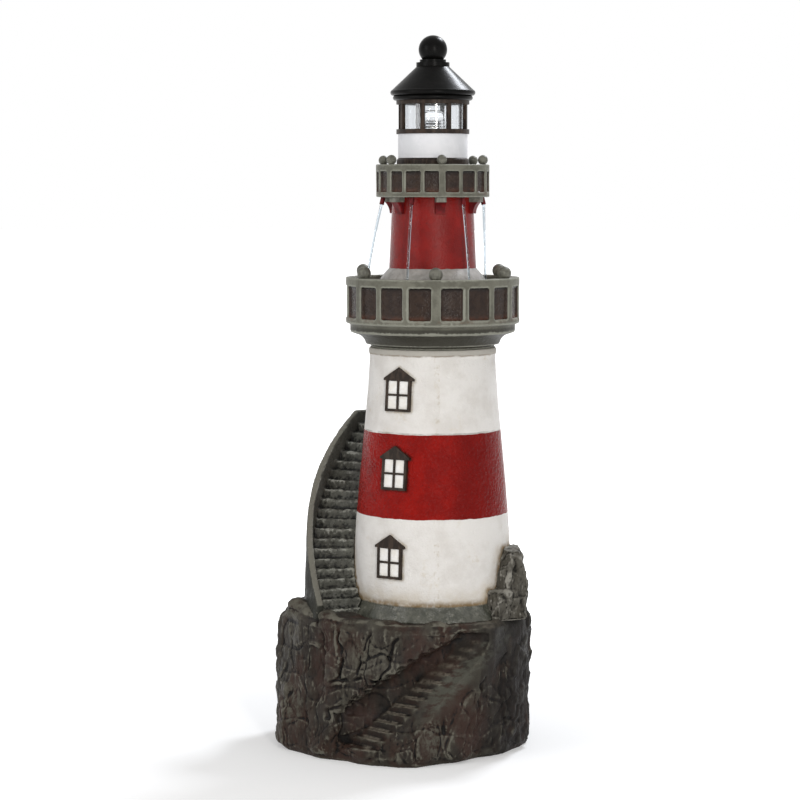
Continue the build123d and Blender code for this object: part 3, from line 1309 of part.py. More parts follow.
for name, piece in PIECES.items():
    export_step(piece, f"parts/{name}.step")
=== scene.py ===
import math

import bmesh
import bpy
import numpy as np
from mathutils import Matrix, Vector, noise
from mathutils.bvhtree import BVHTree


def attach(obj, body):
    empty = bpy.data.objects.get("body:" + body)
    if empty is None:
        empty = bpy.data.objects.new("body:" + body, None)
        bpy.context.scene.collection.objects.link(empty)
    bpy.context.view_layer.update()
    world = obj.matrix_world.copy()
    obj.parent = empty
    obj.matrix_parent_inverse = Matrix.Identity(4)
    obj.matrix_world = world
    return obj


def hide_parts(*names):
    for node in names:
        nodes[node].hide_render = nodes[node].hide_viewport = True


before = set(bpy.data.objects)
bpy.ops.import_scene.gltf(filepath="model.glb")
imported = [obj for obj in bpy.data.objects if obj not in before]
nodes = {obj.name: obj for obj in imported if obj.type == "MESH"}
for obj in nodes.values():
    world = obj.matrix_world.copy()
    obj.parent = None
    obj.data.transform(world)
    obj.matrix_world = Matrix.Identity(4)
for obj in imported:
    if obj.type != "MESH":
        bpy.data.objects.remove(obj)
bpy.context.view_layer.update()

# noise_vector reads this seed, so the stone breaks the same way on every run
STONE_SEED = 5
noise.seed_set(STONE_SEED)

# Sizes are in mm. The tower axis is Z, the front faces -Y, and angles run from the front to the right.

# What the skin of the rock keeps clear of
WATER_MIDDLE_X = -44.5
WATER_HALF_WIDTH = 152.0
WATER_FRONT = 84.0
WATER_BACK = 144.0
WATER_POWER = 2.3
PANEL_X = -20.0
PANEL_HALF_WIDTH = 56.0
PANEL_Z = 98.0
PANEL_HALF_HEIGHT = 42.0
PANEL_BACK = 156.0
GLAND_X = -112.0
GLAND_Z = 46.0
GLAND_CLEAR = 15.0
DECK_Z = 194.0
PLINTH_RADIUS = 121.0

# Carved stair up the front of the rock
STAIR_FOOT = Vector((-92.0, -126.0, 24.0))
STAIR_HEAD = Vector((66.0, -114.0, 169.0))
STAIR_SLOPE = math.atan2(STAIR_HEAD.z - STAIR_FOOT.z, STAIR_HEAD.x - STAIR_FOOT.x)
STAIR_FRONT = -50.0
BROW_TURNS = 24

# Knob of rock behind the foot of the side stair
KNOB = Vector((-196.0, -30.0, 0.0))
KNOB_RISE = 15.0
KNOB_RADIUS = 20.0

# Broken stone: how wide its slabs are, and how far they stand out
ROCK_SLAB = 42.0
ROCK_DEPTH = 4.2
BOULDER_SLAB = 27.0
BOULDER_DEPTH = 2.6

# Cracks on the front of the rock: a route of (x, z), a depth and a width
CRACKS = (
    (((-129, 200), (-130, 172), (-126, 148), (-130, 118)), 8, 5),
    (((-158, 200), (-157, 165), (-150, 137), (-152, 98), (-144, 60)), 6, 5),
    (((-138, 113), (-98, 122), (-64, 118), (-48, 128)), 6, 4),
    (((-84, 192), (-92, 162), (-101, 148), (-104, 128)), 4, 3.5),
    (((-50, 178), (-55, 162), (-60, 141), (-72, 122)), 5, 4),
    (((-142, 73), (-115, 84), (-96, 78)), 4, 3.5),
    (((75, 170), (74, 120), (66, 62)), 4, 4),
    (((108, 190), (104, 140), (110, 96), (100, 30)), 4, 4),
)

# Slabs of the rock's front that are brushed grey and ones that are left brown, each with its x, its z, half
# its width and half its height
GREY_SLABS = ((-200, 185, 20, 30), (-86, 153, 30, 26), (-197, 70, 16, 36), (5, 40, 22, 30))
BROWN_SLABS = ((-152, 135, 18, 60), (-18, 152, 28, 36), (52, 55, 28, 45), (-100, 60, 24, 30))

# Paint lines on the tower and the crown
PLINTH_TOP = 216.0
COLLAR_LOW = 564.5
COLLAR_TOP = 572.6
RED_LOW = 338.2
RED_HIGH = 455.6
RED_DAB = 4.5
RED_DAB_DEPTH = 2.2
SEAM_X = 6.0
SEAM_HALF_WIDTH = 4.0
LOWER_PANEL_LOW = 615.5
LOWER_PANEL_HIGH = 660.0
LOWER_PANEL_EDGE = 121.4
LOWER_PANEL_BACK = 117.0
UPPER_PANEL_LOW = 791.5
UPPER_PANEL_HIGH = 820.6
UPPER_PANEL_EDGE = 78.6
UPPER_PANEL_BACK = 75.5
UPPER_RED_LOW = 684.6
BRACKET_CAP_LOW = 777.5

# Where the parapet of the side stair starts, from the tower axis
PARAPET_INNER = 171.6

# Lit chip on the lamp's board
CHIP_RADIUS = 4.2
CHIP_GLOW = 3.0

# Running water
STREAM_ANGLES = (-84.0, -24.0, 36.0, 96.0, 156.0, 216.0)
STREAM_PUSH = (1.1, 0.75, 0.75, 0.15, 0.8, 0.8)
STREAM_MOUTH_RADIUS = 72.6
STREAM_MOUTH_Z = 773.8
STREAM_TILT = 13.0
STREAM_SPEED = 1200.0
STREAM_THICK = 2.0
STREAM_THIN = 1.45
STREAM_INSIDE = 2.0
STREAM_SINK = 6.0
STREAM_SIDES = 12
STREAM_STEPS = 34
STREAM_WOBBLE = 0.16
STREAM_TWIST = 0.12
GRAVITY = 9810.0
BASIN_LEVEL = 652.0
BASIN_FLOOR = 632.6
BASIN_INNER = 78.0
BASIN_OUTER = 109.6
TROUGH_LEVEL = 811.0
TROUGH_FLOOR = 793.6
TROUGH_INNER = 51.4
TROUGH_OUTER = 72.1
POOL_RINGS = 16
POOL_STEPS = 160
RIPPLE_HEIGHT = 0.7
RIPPLE_TURN = 0.9
RIPPLE_REACH = 11.0

# Rounds of smoothing that show which points stand out as edges
EDGE_TURNS = 2

# Studio, in m, W and degrees
AMBIENT = 0.52
FLOOR_SIZE = 40.0
FLOOR_SHADE_NEAR = 0.35
FLOOR_SHADE_FAR = 1.3
FLOOR_GLOW = 0.25
CAMERA_PLACE = (0, -3.4, 0.8)
CAMERA_DIP = 5.105
CAMERA_TURN = 0.78
CAMERA_LENS_MM = 107.8
CAMERA_SENSOR_MM = 36.0

# Lamps, each with its place, what it is aimed at, its width, its height, its power and its tint
SOFTBOXES = (
    ("key_softbox", (0.75, -3.2, 1.3), (0, 0, 0.75), 0.32, 2.0, 40, "#fffcf7"),
    ("right_softbox", (2.4, -1.6, 1.4), (0, 0, 0.8), 1.0, 1.6, 5, "#f6f9ff"),
    ("fill_softbox", (-2.3, -1.6, 1.5), (0, 0, 0.75), 1.2, 1.6, 20, "#ffffff"),
    ("rim_softbox", (0.95, 1.3, 2.4), (0, 0, 0.9), 0.5, 0.5, 40, "#f4f8ff"),
)


# Shaping

def ease(low, high, value):
    """Smooth share of the way from low to high."""
    share = min(max((value - low) / (high - low), 0.0), 1.0)
    return share * share * (3 - 2 * share)


def mix(first, last, share):
    """Value part of the way from one to another."""
    return first + (last - first) * share


def add_piece(name, mesh, body):
    """Object for a finished mesh, which moves with a body."""
    piece = bpy.data.objects.new(name, mesh)
    bpy.context.scene.collection.objects.link(piece)
    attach(piece, body)
    return piece


def cast_skin(node, body, voxel):
    """Copy of a casting as one closed skin of small even faces, with the soft edges of a resin mould."""
    mesh = nodes[node].data.copy()
    work = bmesh.new()
    work.from_mesh(mesh)
    bmesh.ops.remove_doubles(work, verts=work.verts, dist=1e-6)
    work.to_mesh(mesh)
    work.free()
    piece = add_piece(node + "_skin", mesh, body)
    remesh = piece.modifiers.new("skin", "REMESH")
    remesh.mode = "VOXEL"
    remesh.voxel_size = voxel / 1000
    settle(piece)
    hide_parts(node)
    return piece


def thin(piece, limit):
    """Merges faces where a skin is flat, until it has at most a number of triangles."""
    triangles = 2 * len(piece.data.polygons)
    if triangles > limit:
        fewer = piece.modifiers.new("thin", "DECIMATE")
        fewer.ratio = limit / triangles
        settle(piece)


def settle(piece):
    """Turns a piece's modifiers into its mesh."""
    shaped = piece.evaluated_get(bpy.context.evaluated_depsgraph_get())
    mesh = bpy.data.meshes.new_from_object(shaped)
    mesh.name = piece.name
    piece.modifiers.clear()
    piece.data = mesh
    mesh.materials.clear()
    mesh.shade_smooth()


def read(items, field, width):
    """Values of every point or edge of a mesh as rows of numbers."""
    values = np.empty(len(items) * width, float if field != "vertices" else int)
    items.foreach_get(field, values)
    return values.reshape(-1, width)


def wear(piece, within, turns):
    """Rounds off the part of a skin that lies within a region."""
    work = bmesh.new()
    work.from_mesh(piece.data)
    worn = [vert for vert in work.verts if within(vert.co * 1000)]
    for _ in range(turns):
        bmesh.ops.smooth_vert(work, verts=worn, factor=0.5, use_axis_x=True, use_axis_y=True, use_axis_z=True)
    work.to_mesh(piece.data)
    work.free()


def roughen(piece, relief):
    """Moves each point of a skin along its normal, by what a relief says in mm."""
    points = read(piece.data.vertices, "co", 3)
    normals = read(piece.data.vertices, "normal", 3)
    shift = [relief(Vector(p) * 1000, Vector(n)) for p, n in zip(points, normals)]
    points += normals * np.array(shift)[:, None] / 1000
    piece.data.vertices.foreach_set("co", points.ravel())
    piece.data.update()


def store(piece, name, values):
    """Keeps one number for each point, for the paint to read."""
    attribute = piece.data.attributes.new(name, "FLOAT", "POINT")
    attribute.data.foreach_set("value", values.astype(np.float32))


def weather(piece, broad):
    """Keeps how far each point stands out of the skin round it, close by and broadly, in mm."""
    points = read(piece.data.vertices, "co", 3) * 1000
    normals = read(piece.data.vertices, "normal", 3)
    ends = read(piece.data.edges, "vertices", 2)
    count = len(points)
    start = np.concatenate([ends[:, 0], ends[:, 1]])
    other = np.concatenate([ends[:, 1], ends[:, 0]])
    neighbours = np.bincount(start, minlength=count)[:, None]
    calm = points.copy()
    for turn in range(broad):
        calm = np.stack([np.bincount(start, calm[other, axis], count) for axis in range(3)], 1) / neighbours
        if turn + 1 == EDGE_TURNS:
            store(piece, "edge_mm", ((points - calm) * normals).sum(1))
    store(piece, "hollow_mm", ((points - calm) * normals).sum(1))


def nearness(piece, attribute, names):
    """Keeps how far each point lies from the nearest of some CAD nodes, in mm."""
    trees = []
    for name in names:
        mesh = nodes[name].data
        trees.append(BVHTree.FromPolygons([v.co for v in mesh.vertices], [p.vertices for p in mesh.polygons]))
    points = [Vector(p) for p in read(piece.data.vertices, "co", 3)]
    store(piece, attribute, np.array([min(tree.find_nearest(p)[3] for tree in trees) for p in points]) * 1000)


def slabs(place):
    """Height of the tilted slabs that stone splits into, and how far a place is from the nearest split."""
    distances, centres = noise.voronoi(place)
    border = distances[1] - distances[0]
    here = 2 * noise.noise(centres[0] * 7.3)
    beside = 2 * noise.noise(centres[1] * 7.3)
    lean = (place - centres[0]).dot(noise.noise_vector(centres[0] * 3.1))
    height = mix((here + beside) / 2, here, ease(0, 0.1, border)) + 1.6 * lean * ease(0, 0.24, border)
    return height, border


def broken_stone(point, size, depth):
    """Relief of broken stone: upright slabs, blocks on them, ledges across, open splits and tool strokes."""
    bent = point + noise.noise_vector(point / (0.6 * size)) * 0.17 * size
    upright, split = slabs(Vector((bent.x, bent.y, 0.28 * bent.z)) / size)
    block, chip = slabs(Vector((bent.x, bent.y, 0.7 * bent.z)) / (0.55 * size))
    level = (point.z + 0.8 * size * noise.noise(point / (1.3 * size))) / (1.2 * size) % 1
    ledge = ease(0, 0.8, level) * ease(1, 0.92, level) - 0.5
    gape = ease(-0.1, 0.3, noise.noise(point / size + Vector((9, 4, 2)))) * (1 - ease(0, 0.08, split))
    chipped = ease(0.0, 0.3, noise.noise(point / size + Vector((2, 7, 5)))) * (1 - ease(0, 0.06, chip))
    stroke = noise.fractal(Vector((point.x, point.y, 0.4 * point.z)) / (0.17 * size), 0.9, 2.0, 3)
    return depth * (upright + 0.5 * block + 0.5 * ledge - 0.6 * gape - 0.3 * chipped + 0.3 * stroke)


def crack_depth(point):
    """How deep the cracks on the front of the rock are at a point."""
    if point.y > -60:
        return 0.0
    shake = noise.noise_vector(point / 14) * 4
    spot = Vector((point.x + shake.x, point.z + shake.y))
    depth = 0.0
    for route, deep, wide in CRACKS:
        for start, end in zip(route, route[1:]):
            along = Vector(end) - Vector(start)
            share = min(max((spot - Vector(start)).dot(along) / along.length_squared, 0.0), 1.0)
            gap = (Vector(start) + along * share - spot).length
            depth = max(depth, deep * (1 - ease(0, wide, gap)) * ease(-0.45, 0.1, noise.noise(point / 17)))
    return depth


def skin_share(point):
    """Share of the relief that the rock takes at a point: none inside, at its foot or at a seat."""
    depth = WATER_BACK if point.y > 0 else WATER_FRONT
    across = (abs(point.x - WATER_MIDDLE_X) / WATER_HALF_WIDTH) ** WATER_POWER
    along = (abs(point.y) / depth) ** WATER_POWER
    if (across + along) ** (1 / WATER_POWER) < 1.04 and 8 < point.z < DECK_Z - 12:
        return 0.0
    share = ease(1.5, 11, point.z)
    if math.hypot(point.x, point.y) < PLINTH_RADIUS - 2 and point.z > DECK_Z - 20:
        return 0.0
    if point.y > 100:
        edge = max(abs(point.x - PANEL_X) - PANEL_HALF_WIDTH, abs(point.z - PANEL_Z) - PANEL_HALF_HEIGHT)
        share *= ease(1, 11, edge)
        share *= ease(GLAND_CLEAR, GLAND_CLEAR + 9, math.hypot(point.x - GLAND_X, point.z - GLAND_Z))
    return share


def above_stair(point):
    """How far a point on the front of the rock lies above the line of the carved stair."""
    climb = (STAIR_HEAD.z - STAIR_FOOT.z) / (STAIR_HEAD.x - STAIR_FOOT.x)
    return (point.z - STAIR_FOOT.z - climb * (point.x - STAIR_FOOT.x)) / math.hypot(1, climb)


def stair_room(point):
    """How far the brow of the rock stands above the line of the carved stair."""
    return mix(36, 12, ease(STAIR_FOOT.x, STAIR_HEAD.x, point.x))


def stair_brow(point):
    """Whether a point lies on the brow of the rock over the carved stair."""
    over = abs(above_stair(point) - stair_room(point)) < 18
    return over and point.y < -70 and STAIR_FOOT.x - 50 < point.x < STAIR_HEAD.x + 10 and point.z < DECK_Z - 7


def stair_calm(point):
    """How much the carved stair and its smooth flank quiet the rock, from none to all."""
    if point.y > STAIR_FRONT:
        return 0.0
    above = above_stair(point)
    room = stair_room(point)
    below = mix(-8, -38, ease(-40, 20, point.x))
    beside = ease(STAIR_FOOT.x - 26, STAIR_FOOT.x - 8, point.x)
    return beside * ease(room + 26, room + 8, above) * ease(below - 8, below, above)


def flank_share(point):
    """How much of the grey paint of the smooth flank below the carved stair a point has."""
    if point.y > STAIR_FRONT:
        return 0.0
    above = above_stair(point)
    return ease(-30, 10, point.x) * ease(-1, -5, above) * ease(-36, -22, above)


def grey_share(point):
    """How strongly a point on the front of the rock is brushed grey, or brown where it is negative."""
    if point.y > -30:
        return 0.0
    grey = 0.0
    for sign, slabs_here in ((1, GREY_SLABS), (-1, BROWN_SLABS)):
        for x, z, half_width, half_height in slabs_here:
            grey += sign * math.exp(-((point.x - x) / half_width) ** 2 - ((point.z - z) / half_height) ** 2)
    return grey


def tread_share(point):
    """How much of the painted light and shade of the carved treads a point has."""
    if point.y > STAIR_FRONT:
        return 0.0
    above = above_stair(point)
    return ease(STAIR_FOOT.x - 6, STAIR_FOOT.x, point.x) * ease(-6, -3, above) * ease(16, 12, above)


def deck_lumps(point):
    """Height of the broken stone that stands up round the plinth."""
    lumps = 2.2 + 4.5 * ease(-0.1, 0.5, noise.noise(point / 30)) + 1.6 * noise.noise(point / 11)
    lumps += 6 * ease(-60, -130, point.x) * ease(20, -60, point.y)
    lumps += KNOB_RISE * math.exp(-(((point - KNOB).xy.length / KNOB_RADIUS) ** 2))
    return lumps * ease(PLINTH_RADIUS - 2, PLINTH_RADIUS + 6, math.hypot(point.x, point.y))


def rock_relief(point, normal):
    """Relief of the rock: cracked slabs on its sides, quiet on its stair, lumps on its deck."""
    share = skin_share(point)
    if share == 0:
        return 0.0
    least = 0.15 + 0.4 * ease(13, 19, above_stair(point))
    stone = broken_stone(point, ROCK_SLAB, ROCK_DEPTH) - crack_depth(point)
    side = mix(1.0, least, stair_calm(point)) * stone
    top = ease(0.4, 0.8, normal.z) * ease(DECK_Z - 14, DECK_Z - 6, point.z)
    return mix(share * side, deck_lumps(point), top)


def panel_relief(point, normal):
    """Relief of the rear panel, which dies out at its edges and meets the rock there."""
    edge = max(abs(point.x - PANEL_X) - PANEL_HALF_WIDTH, abs(point.z - PANEL_Z) - PANEL_HALF_HEIGHT)
    inside = ease(-1, -11, edge) * ease(PANEL_BACK, PANEL_BACK + 6, point.y)
    return inside * broken_stone(point, ROCK_SLAB, ROCK_DEPTH)


def stair_relief(point, normal):
    """Chipped stone treads inside a smoother parapet."""
    out = math.hypot(point.x, point.y)
    chips = 1.3 * noise.fractal(point / 11, 1.0, 2.0, 3) + 0.6 * noise.noise(point / 4)
    plain = 0.5 * noise.noise(point / 26) + 0.15 * noise.noise(point / 6)
    parapet = ease(PARAPET_INNER - 4.6, PARAPET_INNER - 0.6, out)
    return mix(chips, plain, parapet) * ease(DECK_Z, DECK_Z + 3, point.z)


def boulder_relief(point, normal):
    """Relief of the stones beside the tower."""
    if math.hypot(point.x, point.y) < PLINTH_RADIUS - 14 or point.z < DECK_Z + 0.5:
        return 0.0
    return broken_stone(point, BOULDER_SLAB, BOULDER_DEPTH)


def tower_relief(point, normal):
    """Hand-trowelled plaster over a rougher wet ledge."""
    ledge = ease(PLINTH_TOP + 3, PLINTH_TOP - 3, point.z)
    rough = 2.2 * noise.fractal(point / 24, 1.0, 2.0, 4)
    plain = 0.3 * noise.noise(point / 24) + 0.1 * noise.noise(point / 7)
    seats = ease(COLLAR_TOP - 1, COLLAR_TOP - 6, point.z) * ease(DECK_Z, DECK_Z + 3, point.z)
    return seats * mix(plain, rough, ledge)


def gallery_relief(point, normal):
    """Slight unevenness of a hand-finished casting."""
    return 0.35 * noise.noise(point / 24) + 0.12 * noise.noise(point / 7)


# Finishes

def linear(code):
    """Linear colour of an sRGB hex code."""
    channels = [int(code[i:i + 2], 16) / 255 for i in (1, 3, 5)]
    return [c / 12.92 if c <= 0.04045 else ((c + 0.055) / 1.055) ** 2.4 for c in channels] + [1.0]


def add(tree, kind, inputs, output=0, **settings):
    """One shader node with its settings, and its inputs as values or other outputs; gives an output."""
    node = tree.nodes.new("ShaderNode" + kind)
    for name, value in settings.items():
        setattr(node, name, value)
    for socket, value in inputs.items():
        if isinstance(value, bpy.types.NodeSocket):
            tree.links.new(value, node.inputs[socket])
        else:
            node.inputs[socket].default_value = value
    return node.outputs[output] if node.outputs else None


def start_finish(name):
    """New material with an empty tree, and the place on the piece that its patterns read."""
    material = bpy.data.materials.new(name)
    material.use_nodes = True
    tree = material.node_tree
    tree.nodes.clear()
    return material, tree, add(tree, "TexCoord", {}, "Object")


def end_finish(tree, inputs):
    """Shader of the finish, joined to the material's output."""
    add(tree, "OutputMaterial", {"Surface": add(tree, "BsdfPrincipled", inputs)})


def patches(tree, place, size, low, high):
    """Mask of uneven patches about as large as a size in mm, from low to high in the noise."""
    cloud = add(tree, "TexNoise", {"Vector": place, "Scale": 1000 / size, "Detail": 4.0, "Roughness": 0.6})
    return add(tree, "MapRange", {0: cloud, 1: low, 2: high}, interpolation_type="SMOOTHSTEP")


def line(value, level, start, full):
    """Limit beside a painted line, with how far from the line it starts and is full, in mm."""
    return value, (level + start) / 1000, (level + full) / 1000


def mask(tree, *limits):
    """Mask where every limit agrees: a mask, a share, or a value with where it fades in and is full."""
    whole = 1.0
    for limit in limits:
        if isinstance(limit, tuple):
            value, low, high = limit
            limit = add(tree, "MapRange", {0: value, 1: low, 2: high}, interpolation_type="SMOOTHSTEP")
        whole = add(tree, "Math", {0: whole, 1: limit}, operation="MULTIPLY")
    return whole


def lay(tree, under, over, *limits):
    """Colour of one paint over another, within limits."""
    coats = [linear(coat) if isinstance(coat, str) else coat for coat in (under, over)]
    return add(tree, "Mix", {0: mask(tree, *limits), 6: coats[0], 7: coats[1]}, 2, data_type="RGBA")


def waver(tree, place, size, depth, value):
    """Value that wanders by a depth in mm, as a line painted by hand does."""
    cloud = add(tree, "TexNoise", {"Vector": place, "Scale": 1000 / size, "Detail": 3.0})
    drift = add(tree, "Math", {0: cloud, 1: -0.5}, operation="ADD")
    return add(tree, "Math", {0: drift, 1: depth / 1000, 2: value}, operation="MULTIPLY_ADD")


def grain(tree, place, *layers):
    """Normal of a skin with layers of bumps, each with a size and a depth in mm."""
    normal = None
    for size, depth in layers:
        bumps = add(tree, "TexNoise", {"Vector": place, "Scale": 1000 / size, "Detail": 2.0})
        inputs = {"Height": bumps, "Distance": depth / 1000, "Strength": 1.0}
        if normal:
            inputs["Normal"] = normal
        normal = add(tree, "Bump", inputs)
    return normal


def stone_colour(tree, place, wash, body, warm, brushed, bright):
    """Colour of cast resin stone that is painted by hand in layers."""
    edge = add(tree, "Attribute", {}, "Fac", attribute_name="edge_mm")
    hollow = add(tree, "Attribute", {}, "Fac", attribute_name="hollow_mm")
    streak = add(tree, "Mapping", {"Vector": place, "Scale": (1.0, 1.0, 0.4)})
    colour = lay(tree, body, warm, patches(tree, streak, 46, 0.44, 0.6))
    colour = lay(tree, colour, brushed, patches(tree, streak, 34, 0.42, 0.62), (hollow, -1.0, 2.2))
    colour = lay(tree, colour, bright, patches(tree, streak, 12, 0.5, 0.68), (hollow, 1.0, 4.0), 0.6)
    colour = lay(tree, colour, wash, (hollow, -0.5, -3.6))
    colour = lay(tree, colour, wash, (edge, -0.06, -0.5))
    colour = lay(tree, colour, bright, (edge, 0.06, 0.5), patches(tree, place, 18, 0.4, 0.6))
    return lay(tree, colour, brushed, patches(tree, place, 2.4, 0.62, 0.78))


def end_stone(tree, place, colour, damp):
    """Skin of painted stone: gritty, dull where it is dry and with a soft sheen where it is damp."""
    wet = patches(tree, place, 45, 0.4, 0.6)
    gloss = add(tree, "Math", {0: wet, 1: -damp, 2: 0.75}, operation="MULTIPLY_ADD")
    end_finish(tree, {
        "Base Color": colour, "Roughness": gloss, "Specular IOR Level": 0.18,
        "Normal": grain(tree, place, (7.0, 1.1), (2.2, 0.6)),
    })


def rock_finish():
    """Cast resin rock, dry-brushed by hand."""
    # The eye gets black wash in the hollows, brown and grey strokes down the faces, chalky edges in places,
    # treads with painted light on their tops and painted shade on their risers, a grey flank under them, and
    # painted shade over the right side.
    material, tree, place = start_finish("dry_brushed_rock_resin")
    colour = stone_colour(tree, place, "#0a0807", "#29241f", "#32231c", "#413e36", "#605d53")
    grey = add(tree, "Attribute", {}, "Fac", attribute_name="grey")
    edge = add(tree, "Attribute", {}, "Fac", attribute_name="edge_mm")
    colour = lay(tree, colour, "#33221c", (grey, -0.15, -0.8), patches(tree, place, 14, 0.3, 0.6), 0.8)
    colour = lay(tree, colour, "#504d44", (grey, 0.15, 0.8), patches(tree, place, 8, 0.36, 0.6),
                 (edge, -0.3, 0.1))
    flank = add(tree, "Attribute", {}, "Fac", attribute_name="flank")
    along = {"Vector": place, "Rotation": (0.0, STAIR_SLOPE, 0.0), "Scale": (0.3, 1.0, 1.0)}
    slope = add(tree, "Mapping", along)
    colour = lay(tree, colour, "#48473f", flank, patches(tree, slope, 9, 0.4, 0.58))
    treads = add(tree, "Attribute", {}, "Fac", attribute_name="treads")
    faces_up = add(tree, "SeparateXYZ", {0: add(tree, "NewGeometry", {}, "Normal")}, "Z")
    # Painted shade on the risers of the carved treads, then painted light on their tops
    colour = lay(tree, colour, "#1a1512", treads, (faces_up, 0.5, 0.1), 0.4)
    colour = lay(tree, colour, "#6d665b", treads, (faces_up, 0.3, 0.85), patches(tree, place, 7, 0.25, 0.6))
    # Painted shade over the right side of the rock, darker from x = 50 mm to 110 mm
    across = add(tree, "SeparateXYZ", {0: place}, "X")
    colour = lay(tree, colour, "#120f0d", line(across, 0, 50, 110), patches(tree, place, 34, 0.25, 0.5), 0.85)
    end_stone(tree, place, colour, 0.22)
    return material


def stair_finish():
    """Cast resin stair, dry-brushed by hand."""
    # The eye gets speckled dark treads with pale worn noses, and a parapet with painted light on its
    # up-facing cap over a dark outer side.
    material, tree, place = start_finish("dry_brushed_stair_resin")
    colour = stone_colour(tree, place, "#161614", "#51514b", "#44433d", "#66665e", "#92928a")
    colour = lay(tree, colour, "#20201c", patches(tree, place, 3.0, 0.54, 0.7), 0.8)
    colour = lay(tree, colour, "#8d8d85", patches(tree, place, 2.6, 0.64, 0.78), 0.8)
    flat = add(tree, "Mapping", {"Vector": place, "Scale": (1.0, 1.0, 0.0)})
    out = add(tree, "VectorMath", {0: flat}, 1, operation="LENGTH")
    faces_up = add(tree, "SeparateXYZ", {0: add(tree, "NewGeometry", {}, "Normal")}, "Z")
    plain = lay(tree, "#282822", "#21211c", patches(tree, place, 24, 0.36, 0.62))
    # Painted light on the faces of the parapet that look up
    plain = lay(tree, plain, "#6b6960", (faces_up, 0.15, 0.5))
    plain = lay(tree, plain, "#8a887f", patches(tree, place, 7, 0.58, 0.72), (faces_up, 0.15, 0.5), 0.5)
    colour = lay(tree, colour, plain, line(out, PARAPET_INNER, -1, 1))
    end_stone(tree, place, colour, 0.3)
    return material


def boulder_finish():
    """Cast resin stones, dry-brushed by hand."""
    # The eye gets grey-brown blocks with painted light on their tops, and dark joints.
    material, tree, place = start_finish("dry_brushed_boulder_resin")
    colour = stone_colour(tree, place, "#181612", "#47443d", "#3e3a32", "#5d5a53", "#88857d")
    faces_up = add(tree, "SeparateXYZ", {0: add(tree, "NewGeometry", {}, "Normal")}, "Z")
    # Painted light on the faces of the blocks that look up
    colour = lay(tree, colour, "#77746c", (faces_up, 0.3, 0.8), patches(tree, place, 12, 0.36, 0.6), 0.7)
    end_stone(tree, place, colour, 0.25)
    return material


